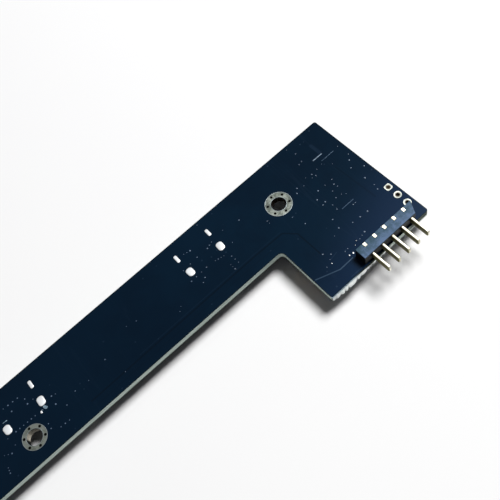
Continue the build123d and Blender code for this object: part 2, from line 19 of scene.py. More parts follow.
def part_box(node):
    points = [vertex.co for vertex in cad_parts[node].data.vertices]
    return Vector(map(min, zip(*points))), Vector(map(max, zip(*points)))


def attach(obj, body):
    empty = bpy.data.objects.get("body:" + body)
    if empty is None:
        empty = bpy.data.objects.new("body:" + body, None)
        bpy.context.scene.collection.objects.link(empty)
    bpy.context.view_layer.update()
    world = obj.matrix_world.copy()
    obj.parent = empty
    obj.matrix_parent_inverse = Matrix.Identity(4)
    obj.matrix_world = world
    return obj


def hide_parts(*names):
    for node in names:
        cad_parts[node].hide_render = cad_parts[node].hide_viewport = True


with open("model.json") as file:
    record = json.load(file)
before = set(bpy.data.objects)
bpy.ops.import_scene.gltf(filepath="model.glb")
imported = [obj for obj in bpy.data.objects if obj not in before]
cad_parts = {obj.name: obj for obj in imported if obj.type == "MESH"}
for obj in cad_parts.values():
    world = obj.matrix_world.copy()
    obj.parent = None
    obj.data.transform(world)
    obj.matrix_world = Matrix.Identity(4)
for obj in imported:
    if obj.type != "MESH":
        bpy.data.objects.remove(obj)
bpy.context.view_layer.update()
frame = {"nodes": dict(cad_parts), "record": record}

log = logging.getLogger("extruder_board")

METRES = 0.001
BODY = "root"
SMOOTH_ANGLE = math.radians(38)
SCREW_HOLES = ("head_hole", "arm_hole")

Rgb = tuple[float, float, float]
Point2 = tuple[float, float]
Path2 = tuple[Point2, ...]
Box = tuple[np.ndarray, np.ndarray]
Socket = bpy.types.NodeSocket
Material = bpy.types.Material


# ---- where the CAD pieces are --------------------------------------------------------------------
def node_box(node: str) -> Box:
    """Lowest and highest corner of a CAD node."""
    low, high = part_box(node)
    return np.array(low) / METRES, np.array(high) / METRES


def node_points(node: str) -> np.ndarray:
    """Corner points of a CAD node's mesh.

    Args:
        node: name of the CAD node.

    Returns:
        Array of points by three.
    """
    vertices = frame["nodes"][node].data.vertices
    points = np.zeros(len(vertices) * 3)
    vertices.foreach_get("co", points)
    return points.reshape(-1, 3) / METRES


def mount_place(name: str) -> np.ndarray:
    """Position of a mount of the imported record."""
    mount = next(m for m in frame["record"]["mounts"] if m["name"] == name)
    return np.array(mount["pos_m"], float) / METRES


def solid_boxes(node: str) -> np.ndarray:
    """Boxes of the separate solids inside one CAD node.

    Corners of triangles that share a place are joined, then each corner takes the smallest label
    of its triangle again and again until the labels settle.

    Args:
        node: name of the CAD node.

    Returns:
        One row per solid: low x, y, z, then high x, y, z.
    """
    mesh = frame["nodes"][node].data
    mesh.calc_loop_triangles()
    points = node_points(node)
    same = np.unique(points.round(4), axis=0, return_inverse=True)[1].reshape(-1)
    triangles = np.zeros(len(mesh.loop_triangles) * 3, int)
    mesh.loop_triangles.foreach_get("vertices", triangles)
    triangles = same[triangles].reshape(-1, 3)
    labels, before = np.arange(len(points)), None
    while before is None or (labels != before).any():
        before = labels.copy()
        np.minimum.at(labels, triangles.ravel(), np.repeat(before[triangles].min(1), 3))
    owner = labels[same]
    solids = (points[owner == one] for one in np.unique(owner))
    return np.array([np.concatenate([own.min(0), own.max(0)]) for own in solids])


def middles(boxes: np.ndarray) -> np.ndarray:
    """Middle of each box."""
    return (boxes[..., :3] + boxes[..., 3:]) / 2


def flat_metres(place: np.ndarray | Point2) -> tuple[float, float, float]:
    """A place on the solder face, in metres."""
    return float(place[0]) * METRES, float(place[1]) * METRES, 0.0


# ---- surfaces ------------------------------------------------------------------------------------
def grid(x: np.ndarray | float, y: np.ndarray | float, z: np.ndarray | float) -> np.ndarray:
    """Points from three coordinates that are spread over each other."""
    return np.stack(np.broadcast_arrays(x, y, z), -1)


@dataclass
class Surface:
    """Points with the four-sided and three-sided faces that join them."""

    points: np.ndarray
    quads: np.ndarray
    tris: np.ndarray = field(default_factory=lambda: np.zeros((0, 3), int))

    def at(self, places: np.ndarray | tuple, turn: float = 0.0) -> "Surface":
        """Copies of the surface at one or more places, turned about Z.

        Args:
            places: a row x, y, z for each copy, or one such row.
            turn: their turn in degrees.

        Returns:
            All copies as one surface.
        """
        places = np.atleast_2d(places)
        cosine, sine = math.cos(math.radians(turn)), math.sin(math.radians(turn))
        x, y, z = self.points.T
        turned = grid(cosine * x - sine * y, sine * x + cosine * y, z)
        steps = np.arange(len(places))[:, None, None] * len(self.points)
        return Surface(
            (turned + places[:, None]).reshape(-1, 3),
            (self.quads + steps).reshape(-1, 4),
            (self.tris + steps).reshape(-1, 3),
        )

    def flipped(self) -> "Surface":
        """The surface mirrored in Z, with its faces still pointing outwards."""
        return Surface(self.points * (1, 1, -1), self.quads[:, ::-1], self.tris[:, ::-1])


def joined(parts: list[Surface]) -> Surface:
    """Several surfaces as one.

    Args:
        parts: the surfaces.

    Returns:
        One surface with all their points and faces.
    """
    steps = np.cumsum([0] + [len(part.points) for part in parts])
    moved = [(part.points, part.quads + step, part.tris + step) for part, step in zip(parts, steps)]
    return Surface(*(np.concatenate(rows) for rows in zip(*moved)))


def rings_surface(rings: np.ndarray) -> Surface:
    """A closed skin through a stack of closed rings, with a flat fan over each end.

    Point (i, j) is point j of ring i. Quads join neighbouring rings, and each end ring is closed
    by triangles round its middle point. The rings run anticlockwise seen from the last one.

    Args:
        rings: array of rings by points by three.

    Returns:
        The closed surface.
    """
    count, around = rings.shape[:2]
    points = np.concatenate([rings.reshape(-1, 3), rings[0].mean(0)[None], rings[-1].mean(0)[None]])
    index = np.arange(count * around).reshape(count, around)
    after = np.roll(index, -1, axis=1)
    quads = np.stack([index[:-1], after[:-1], after[1:], index[1:]], 2).reshape(-1, 4)
    first, last = count * around, count * around + 1
    low = np.stack([after[0], index[0], np.full(around, first)], 1)
    high = np.stack([index[-1], after[-1], np.full(around, last)], 1)
    return Surface(points, quads, np.concatenate([low, high]))


def unit_circle(count: int) -> np.ndarray:
    """Evenly spaced points round a circle of radius 1, the first one half a step on from +X."""
    t = (np.arange(count) + 0.5) * math.tau / count
    return np.stack([np.cos(t), np.sin(t)], 1)


def unit_rows(rows: np.ndarray) -> np.ndarray:
    """Each row of an array as a direction of length 1."""
    return rows / np.linalg.norm(rows, axis=1)[:, None]


def stadium_ring(width: float, length: float, count: int) -> np.ndarray:
    """Points round a stadium that lies along X or Y.

    The halves of a circle as wide as the shorter side are pushed apart along the longer one by
    half the difference of the sides.

    Args:
        width: size along X.
        length: size along Y.
        count: number of points.

    Returns:
        Array of points by two.
    """
    circle = unit_circle(count)
    sides = np.array([width, length])
    return circle * sides.min() / 2 + np.sign(circle) * (sides - sides.min()) / 2


def mound(ring: np.ndarray, height: float, fullness: float, layers: int, sink: float = 0.02,
          slump: float = 0.0, seed: int = 0) -> Surface:
    """A mound of solder or a pad over an outline.

    At share s of the way to the middle, a layer is the outline times cos(s pi / 2) to a small
    power, and its height is the full height times sin(s pi / 2) to the power of the fullness.
    A slow wave round the ring, with a seeded phase, makes the mound a little uneven.

    Args:
        ring: outline, points by two.
        height: height over the board.
        fullness: below 1 gives steep sides, above 1 a peaked top.
        layers: number of layers.
        sink: depth of the foot below the board's face.
        slump: share by which the outline wanders.
        seed: seed of the wander.

    Returns:
        The closed mound, standing on z 0.
    """
    phases = np.random.default_rng(seed).uniform(0, math.tau, 3)
    angle = np.arctan2(ring[:, 1], ring[:, 0])
    wander = 1 + slump * sum(np.sin((k + 2) * angle + phases[k]) / (k + 1) for k in range(3))
    way = np.linspace(0, 0.97, layers)[:, None] * math.pi / 2
    x, y = ring.T * wander
    spread = np.cos(way) ** 0.8
    rings = grid(x * spread, y * spread, height * np.sin(way) ** fullness)
    foot = rings[:1] - (0, 0, sink)
    return rings_surface(np.concatenate([foot, rings]))


def revolved(profile: np.ndarray | list, sides: int) -> Surface:
    """A closed profile of radius and height turned once round Z.

    Args:
        profile: points of radius and height, listed so that the outside is walked upwards.
        sides: number of steps round.

    Returns:
        The ring-shaped surface.
    """
    radius, height = np.array(profile, float).T[..., None]
    turn = np.arange(sides) * math.tau / sides
    points = grid(radius * np.cos(turn), radius * np.sin(turn), height)
    index = np.arange(points.size // 3).reshape(-1, sides)
    after, above = np.roll(index, -1, axis=1), np.roll(index, -1, axis=0)
    corner = np.roll(after, -1, axis=0)
    return Surface(points.reshape(-1, 3), np.stack([index, after, corner, above], 2).reshape(-1, 4))


def ribbon(path: Path2, width: float, height: float, sink: float = 0.01) -> Surface:
    """A low track carried along a line on the board's face.

    Its section is flat with soft shoulders: at share t across, the height is the full height
    times 1 - t to the fourth. At a corner the section is mitred.

    Args:
        path: corner points.
        width: width of the track.
        height: height over the face.
        sink: depth of its foot below the face.

    Returns:
        The closed ribbon on z 0.
    """
    line = np.array(path, float)
    step = unit_rows(np.diff(line, axis=0))
    ahead = np.vstack([step, step[-1:]])
    along = unit_rows(ahead + np.vstack([step[:1], step]))
    mitre = 1 / np.clip((along * ahead).sum(1), 0.4, 1)
    side = np.stack([-along[:, 1], along[:, 0]], 1) * mitre[:, None]
    share = np.linspace(-1, 1, 7)
    across = np.concatenate([share[::-1], [-1, 1]]) * width / 2
    up = np.concatenate([height * (1 - share ** 4), [-sink, -sink]])
    flat = line[:, None] + side[:, None] * across[:, None]
    return rings_surface(grid(flat[..., 0], flat[..., 1], up)[:, ::-1])


def rounded_bar(y: np.ndarray | float, z: np.ndarray | float, widths: np.ndarray, depths: np.ndarray,
                softness: float, count: int = 20) -> Surface:
    """A bar with a superelliptic section, carried along a line in the YZ plane.

    At angle t the section's corner is (cos t, sin t), each to the power 2 / softness with its
    sign kept, times half the width and half the depth at that station.

    Args:
        y: place of each station along Y.
        z: place of each station along Z.
        widths: size along X at each station.
        depths: size across the line and X at each station.
        softness: exponent of the superellipse, larger for sharper corners.
        count: points round the section.

    Returns:
        The closed bar.
    """
    path = grid(0.0, y, z)
    along = unit_rows(np.gradient(path, axis=0))
    up = np.cross(along, (1, 0, 0))
    circle = unit_circle(count)
    a, b = (np.sign(circle) * np.abs(circle) ** (2 / softness) / 2).T
    sideways = grid(a * widths[:, None], 0.0, 0.0)
    return rings_surface(path[:, None] + sideways + up[:, None] * (b * depths[:, None])[..., None])


def concave_wedge(width: float, run: float, rise: float) -> Surface:
    """A solder fillet against a wall at x 0, running out along +X.

    At share s of the run, its height is the rise times (1 - s) squared. The fillet is level
    along its width and closed at both ends, where it is a little smaller.

    Args:
        width: size along Y.
        run: length of the foot.
        rise: height on the wall.

    Returns:
        The closed fillet, standing on z 0.
    """
    share = np.linspace(0, 1, 5)
    top = np.stack([run * share, rise * (1 - share) ** 2 + 0.004], 1)
    x, z = np.concatenate([[(-0.02, -0.01), (run, -0.01)], top[::-1], [(-0.02, rise)]]).T
    narrow = np.array([[0.92], [1.0], [1.0], [0.92]])
    y = np.linspace(-width / 2, width / 2, 4)[:, None]
    return rings_surface(grid(x * narrow, y, z * narrow)[:, ::-1])


# ---- node graphs ---------------------------------------------------------------------------------
class Graph:
    """A thin hand on one node tree that places nodes and links them."""

    def __init__(self, tree: bpy.types.NodeTree) -> None:
        """Take hold of a tree."""
        self.tree = tree

    def plug(self, node: bpy.types.Node, inputs: dict) -> bpy.types.Node:
        """Feed the inputs of a node.

        Args:
            node: the node.
            inputs: socket or constant for each named or numbered input.

        Returns:
            The node.
        """
        for name, value in inputs.items():
            if isinstance(value, Socket):
                self.tree.links.new(value, node.inputs[name])
            else:
                node.inputs[name].default_value = value
        return node

    def node(self, kind: str, inputs: dict | None = None, **settings: object) -> bpy.types.Node:
        """Place one node.

        Args:
            kind: Blender's type name of the node.
            inputs: socket or constant for each named or numbered input.
            settings: plain properties of the node.

        Returns:
            The node.
        """
        made = self.tree.nodes.new(kind)
        for name, value in settings.items():
            setattr(made, name, value)
        return self.plug(made, inputs or {})

    def math(self, operation: str, *values: Socket | float, clamp: bool = False) -> Socket:
        """Result of one Math node."""
        inputs = dict(enumerate(values))
        return self.node("ShaderNodeMath", inputs, operation=operation, use_clamp=clamp).outputs[0]

    def plus(self, first: Socket, second: Socket | float) -> Socket:
        """Sum of two values."""
        return self.math("ADD", first, second)

    def minus(self, first: Socket | float, second: Socket | float) -> Socket:
        """Difference of two values."""
        return self.math("SUBTRACT", first, second)

    def times(self, first: Socket, second: Socket | float) -> Socket:
        """Product of two values."""
        return self.math("MULTIPLY", first, second)

    def fold(self, operation: str, values: list[Socket]) -> Socket:
        """Result of one operation that is carried through several values."""
        return reduce(lambda found, value: self.math(operation, found, value), values)

    def vector(self, operation: str, *values: Socket | tuple) -> Socket:
        """Result of one Vector Math node, a plain value for a length or a dot product."""
        made = self.node("ShaderNodeVectorMath", dict(enumerate(values)), operation=operation)
        return made.outputs["Value" if operation in ("LENGTH", "DOT_PRODUCT") else "Vector"]

    def split(self, vector: Socket) -> list[Socket]:
        """The x, y and z of a vector."""
        return list(self.node("ShaderNodeSeparateXYZ", {0: vector}).outputs)

    def mix(self, share: Socket | float, first: Socket | Rgb, second: Socket | Rgb) -> Socket:
        """Mix two colours.

        Args:
            share: how much of the second.
            first: first colour.
            second: second colour.

        Returns:
            The colour.
        """
        tones = [tone if isinstance(tone, Socket) else (*tone, 1.0) for tone in (first, second)]
        inputs = {0: share, 6: tones[0], 7: tones[1]}
        return self.node("ShaderNodeMix", inputs, data_type="RGBA").outputs[2]

    def span(self, value: Socket, low: float, high: float, to_low: float = 0.0,
             to_high: float = 1.0) -> Socket:
        """Map a value from one range to another, smoothly and clamped.

        Args:
            value: the value.
            low: start of its range.
            high: end of its range.
            to_low: result at the start.
            to_high: result at the end.

        Returns:
            The mapped value.
        """
        made = self.node(
            "ShaderNodeMapRange",
            {"Value": value, "From Min": low, "From Max": high, "To Min": to_low, "To Max": to_high},
            interpolation_type="SMOOTHSTEP",
        )
        return made.outputs["Result"]

    def run(self, value: Socket, stretch: Point2, to_low: float = 0.0, to_high: float = 1.0) -> Socket:
        """Map a length in metres over a stretch in millimetres, smoothly and clamped."""
        return self.span(value, stretch[0] * METRES, stretch[1] * METRES, to_low, to_high)

    def noise(self, vector: Socket, scale: Socket | float, detail: float = 3.0,
              roughness: float = 0.55) -> Socket:
        """Noise of a vector, about 0.5 on average."""
        inputs = {"Vector": vector, "Scale": scale, "Detail": detail, "Roughness": roughness}
        return self.node("ShaderNodeTexNoise", inputs).outputs["Fac"]


class Effect(Enum):
    """Surface effects that several finishes share."""

    DRIFT = "tone_drift"
    SPECKS = "dust_specks"
    SCRATCHES = "fine_scratches"
    LINE = "line_mask"


class EffectShelf:
    """The shared effects, each a node group made once when it is first asked for."""

    def __init__(self) -> None:
        """Start with an empty shelf."""
        self.made: dict[Effect, bpy.types.NodeTree] = {}

    def get(self, effect: Effect) -> bpy.types.NodeTree:
        """The group of an effect.

        Args:
            effect: which effect.

        Returns:
            Its node tree.
        """
        if effect not in self.made:
            self.made[effect] = self._make(effect)
        return self.made[effect]

    def _make(self, effect: Effect) -> bpy.types.NodeTree:
        """Make one group. A default of None stands for a vector, and a tuple for a colour.

        Args:
            effect: which effect.

        Returns:
            Its node tree.
        """
        grey = (0.5, 0.5, 0.5, 1)
        build, inputs = {
            Effect.DRIFT: (self._drift, {"First": grey, "Second": grey, "Scale": 100.0}),
            Effect.SPECKS: (self._specks, {"Scale": 900.0, "Share": 0.1}),
            Effect.SCRATCHES: (self._scratches, {"Scale": 300.0, "Width": 0.01}),
            Effect.LINE: (self._line, {"Start": None, "End": None, "Reach": 0.0002}),
        }[effect]
        tree = bpy.data.node_groups.new(effect.value, "ShaderNodeTree")
        for name, default in {"Vector": None, **inputs}.items():
            kind = {type(None): "Vector", float: "Float", tuple: "Color"}[type(default)]
            socket = tree.interface.new_socket(name, in_out="INPUT", socket_type="NodeSocket" + kind)
            if default is not None:
                socket.default_value = default
        graph = Graph(tree)
        results = build(graph, *list(tree.nodes.new("NodeGroupInput").outputs)[:-1])
        for name in results:
            kind = "NodeSocketColor" if name == "Color" else "NodeSocketFloat"
            tree.interface.new_socket(name, in_out="OUTPUT", socket_type=kind)
        graph.plug(tree.nodes.new("NodeGroupOutput"), results)
        return tree

    def _drift(self, graph: Graph, place: Socket, first: Socket, second: Socket,
               scale: Socket) -> dict[str, Socket]:
        """Slow change between two colours: two noises of unlike scale, added and stretched.

        Args:
            graph: the group's graph.
            place: where it is read.
            first: one colour.
            second: the other colour.
            scale: scale of the broader noise.

        Returns:
            The group's outputs.
        """
        broad = graph.noise(place, scale, detail=2.0)
        fine = graph.noise(place, graph.times(scale, 7.3))
        value = graph.span(graph.plus(graph.times(broad, 0.7), graph.times(fine, 0.3)), 0.36, 0.64)
        return {"Color": graph.mix(value, first, second), "Value": value}

    def _specks(self, graph: Graph, place: Socket, scale: Socket, share: Socket) -> dict[str, Socket]:
        """Scattered round specks: a share of the cells has one round its centre.

        Args:
            graph: the group's graph.
            place: where it is read.
            scale: scale of the cells.
            share: share of the cells that has a speck.

        Returns:
            The group's output.
        """
        cells = graph.node("ShaderNodeTexVoronoi", {"Vector": place, "Scale": scale})
        chance = graph.node("ShaderNodeSeparateColor", {"Color": cells.outputs["Color"]}).outputs[0]
        chosen = graph.math("LESS_THAN", chance, share)
        return {"Mask": graph.times(chosen, graph.span(cells.outputs["Distance"], 0.12, 0.3, 1.0, 0.0))}

    def _scratches(self, graph: Graph, place: Socket, scale: Socket, width: Socket) -> dict[str, Socket]:
        """Fine scratches: noise stretched along two slanting ways, kept where it crosses its middle.

        Args:
            graph: the group's graph.
            place: where it is read.
            scale: scale of the noise.
            width: how far from its middle the noise is kept.

        Returns:
            The group's output.
        """
        strokes = []
        for degrees, stretch in ((28, (1.0, 0.04, 0.3)), (-61, (0.8, 0.05, 0.3))):
            turn = (0, 0, math.radians(degrees))
            inputs = {"Vector": place, "Rotation": turn, "Scale": stretch}
            turned = graph.node("ShaderNodeMapping", inputs).outputs[0]
            near = graph.math("ABSOLUTE", graph.minus(graph.noise(turned, scale, detail=2.0), 0.5))
            patch = graph.noise(turned, graph.times(scale, 0.35), detail=1.0)
            stroke = graph.math("LESS_THAN", near, width)
            strokes.append(graph.times(stroke, graph.span(patch, 0.5, 0.62)))
        return {"Mask": graph.math("MAXIMUM", *strokes)}

    def _line(self, graph: Graph, place: Socket, start: Socket, end: Socket,
              reach: Socket) -> dict[str, Socket]:
        """A soft line: the distance to the nearest point of a stretch, mapped to a mask.

        Args:
            graph: the group's graph.
            place: where it is read.
            start: start of the stretch.
            end: end of the stretch.
            reach: half the line's width.

        Returns:
            The group's output.
        """
        way = graph.vector("SUBTRACT", end, start)
        here = graph.vector("SUBTRACT", place, start)
        passed, length2 = (graph.vector("DOT_PRODUCT", one, way) for one in (here, way))
        share = graph.math("DIVIDE", passed, length2, clamp=True)
        scaled = graph.node("ShaderNodeVectorMath", {0: way, "Scale": share}, operation="SCALE").outputs[0]
        away = graph.vector("LENGTH", graph.vector("SUBTRACT", here, scaled))
        return {"Mask": graph.span(graph.math("DIVIDE", away, reach), 0.7, 1.3, 1.0, 0.0)}


class Coat(Graph):
    """The graph of a new material, with its shader, its object coordinates and the shared effects."""

    shelf: EffectShelf = EffectShelf()

    def __init__(self, name: str) -> None:
        """Open the material.

        Args:
            name: its name.
        """
        self.material = bpy.data.materials.new(name)
        self.material.use_nodes = True
        super().__init__(self.material.node_tree)
        self.shader = self.tree.nodes["Principled BSDF"]
        self.place = self.node("ShaderNodeTexCoord").outputs["Object"]

    def normal(self, axis: int) -> Socket:
        """One component of the surface's normal."""
        return self.split(self.node("ShaderNodeNewGeometry").outputs["Normal"])[axis]

    def flat(self) -> Socket:
        """The object coordinates without their height."""
        return self.vector("MULTIPLY", self.place, (1, 1, 0))

    def effect(self, effect: Effect, **inputs: object) -> list[Socket]:
        """Outputs of a shared effect, which is read at the object coordinates if no vector is given."""
        inputs = {"Vector": self.place, **inputs}
        return list(self.node("ShaderNodeGroup", inputs, node_tree=self.shelf.get(effect)).outputs)

    def drift(self, first: Rgb, second: Rgb, scale: float) -> list[Socket]:
        """Colour and value of a slow change between two colours."""
        return self.effect(Effect.DRIFT, First=(*first, 1), Second=(*second, 1), Scale=scale)

    def close(self, colour: Socket, rough: Socket, height: Socket, strength: float, depth: float,
              constants: dict) -> Material:
        """Feed the shader.

        Args:
            colour: base colour.
            rough: roughness.
            height: height of the relief.
            strength: strength of the relief.
            depth: depth of the relief.
            constants: the shader's other inputs.

        Returns:
            The material.
        """
        relief = {"Height": height, "Strength": strength, "Distance": depth * METRES}
        bump = self.node("ShaderNodeBump", relief).outputs[0]
        self.plug(self.shader, {"Base Color": colour, "Roughness": rough, "Normal": bump, **constants})
        return self.material


def linear(red: int, green: int, blue: int) -> Rgb:
    """Scene colour of a display colour.

    Args:
        red: red from 0 to 255.
        green: green from 0 to 255.
        blue: blue from 0 to 255.

    Returns:
        The same colour as the renderer's linear numbers.
    """
    share = np.array([red, green, blue]) / 255
    low, high = share / 12.92, ((share + 0.055) / 1.055) ** 2.4
    return tuple(float(v) for v in np.where(share <= 0.04045, low, high))


# ---- finishes ------------------------------------------------------------------------------------
@dataclass(frozen=True)
class MetalFinish:
    """A plated or soldered metal: drifting tone, dull patches, fine scratches and a soft relief.

    A piece can also have painted shade on the faces that look along X: a dark olive that stands in for the
    shaded floor they reflect.
    """

    bright: Rgb
    dull: Rgb
    roughness: float
    patch_scale: float = 600.0
    relief: float = 0.15
    relief_scale: float = 1800.0
    scratched: float = 0.2
    metallic: float = 1.0
    shaded_sides: Rgb | None = None

    def build(self, coat: Coat) -> Material:
        """Make the material.

        Args:
            coat: its graph.

        Returns:
            The material.
        """
        colour, value = coat.drift(self.bright, self.dull, self.patch_scale)
        marks, = coat.effect(Effect.SCRATCHES, Scale=2200.0, Width=0.012)
        colour = coat.mix(coat.times(marks, self.scratched), colour, self.dull)
        # Painted shade: faces that look along X are painted dark olive, as the shaded floor under the
        # board would show in them.
        if self.shaded_sides:
            aside = coat.math("ABSOLUTE", coat.normal(0))
            colour = coat.mix(coat.span(aside, 0.55, 0.85), colour, self.shaded_sides)
        rough = coat.span(value, 0, 1, self.roughness, self.roughness * 1.6)
        height = coat.minus(coat.noise(coat.place, self.relief_scale), coat.times(marks, 0.3))
        metal = {"Metallic": self.metallic}
        return coat.close(colour, rough, height, strength=self.relief, depth=0.04, constants=metal)


@dataclass(frozen=True)
class MouldedFinish:
    """A moulding, a pressed powder or a fired ceramic, with fine grain and specks.

    It can have a painted sheen on the faces that look up, standing in for the reflection of the light
    overhead: patchy, and lighter towards the low y of a CAD node.
    """

    body: Rgb
    shade: Rgb
    roughness: float
    patch_scale: float = 420.0
    grain_scale: float = 5000.0
    relief: float = 0.25
    speck: Rgb = (0.25, 0.25, 0.25)
    speck_share: float = 0.05
    speck_strength: float = 0.35
    gloss: float = 0.5
    painted_sheen: tuple[Rgb, Rgb] | None = None
    sheen_node: str = "header_housing"

    def build(self, coat: Coat) -> Material:
        """Make the material.

        Args:
            coat: its graph.

        Returns:
            The material.
        """
        colour, _ = coat.drift(self.body, self.shade, self.patch_scale)
        specks, = coat.effect(Effect.SPECKS, Scale=7000.0, Share=self.speck_share)
        colour = coat.mix(coat.times(specks, self.speck_strength), colour, self.speck)
        # Painted sheen: faces that look up are painted a patchy blue-grey that stands in for the reflected
        # overhead light.
        if self.painted_sheen:
            low, high = node_box(self.sheen_node)
            cloud = coat.noise(coat.place, 900.0, detail=4.0, roughness=0.7)
            cloud = coat.span(cloud, 0.38, 0.62, 0.0, 0.5)
            across = coat.run(coat.split(coat.place)[1], (high[1], low[1]), 0.05, 0.5)
            tone = coat.mix(coat.plus(cloud, across), *self.painted_sheen)
            colour = coat.mix(coat.span(coat.normal(2), 0.3, 0.95), colour, tone)
        grain = coat.noise(coat.place, self.grain_scale, detail=4.0, roughness=0.65)
        rough = coat.span(grain, 0.3, 0.7, self.roughness * 0.85, self.roughness * 1.15)
        gloss = {"Specular IOR Level": self.gloss}
        return coat.close(colour, rough, grain, strength=self.relief, depth=0.03, constants=gloss)


@dataclass(frozen=True)
class MaskFinish:
    """Navy solder mask: drifting tone, faint orange peel, dust and hairline marks."""

    deep: Rgb = linear(2, 20, 37)
    pale: Rgb = linear(3, 25, 43)
    dust: Rgb = linear(40, 58, 80)
    patch_scale: float = 45.0
    peel_scale: float = 1500.0
    roughness: float = 0.2
    gloss: float = 0.15
    tint: Rgb = (0.6, 0.82, 1.0)

    def lay(self, coat: Coat) -> tuple[Socket, Socket, Socket]:
        """Lay the mask in a graph.

        Args:
            coat: the material's graph.

        Returns:
            Its colour, roughness and relief.
        """
        colour, _ = coat.drift(self.deep, self.pale, self.patch_scale)
        specks, = coat.effect(Effect.SPECKS, Scale=1100.0, Share=0.035)
        hairs, = coat.effect(Effect.SCRATCHES, Scale=260.0, Width=0.004)
        marks = coat.math("MAXIMUM", coat.times(specks, 0.3), coat.times(hairs, 0.05))
        rough = coat.plus(coat.times(marks, 0.4), self.roughness)
        peel = coat.noise(coat.place, self.peel_scale, detail=2.0)
        return coat.mix(marks, colour, self.dust), rough, peel

    def shine(self) -> dict:
        """The constant gloss of the mask, as inputs of the shader."""
        return {"Specular IOR Level": self.gloss, "Specular Tint": (*self.tint, 1)}

    def build(self, coat: Coat) -> Material:
        """Make the plain mask, as it lies over tracks and vias."""
        return coat.close(*self.lay(coat), strength=0.12, depth=0.02, constants=self.shine())


@dataclass(frozen=True)
class BoardOutline:
    """The lines of the L, read from the CAD board."""

    low: np.ndarray
    high: np.ndarray
    arm_y: float
    notch_x: float
    notch_radius: float = 1.0

    @staticmethod
    def read() -> "BoardOutline":
        """Read the board's box, and the two inner lines from its corner points.

        Returns:
            The outline.
        """
        low, high = node_box("board")
        x, y, _ = node_points("board").T
        tail, foot = y[x < low[0] + 0.01], x[y < low[1] + 0.01]
        corner = tail.max() - high[1]
        return BoardOutline(low, high, tail.min() + corner, foot.min() + corner)


@dataclass(frozen=True)
class MaskLine:
    """A line that shows through the mask: a gap in the copper is dark and low, a track edge pale."""

    corners: Path2
    width: float
    strength: float


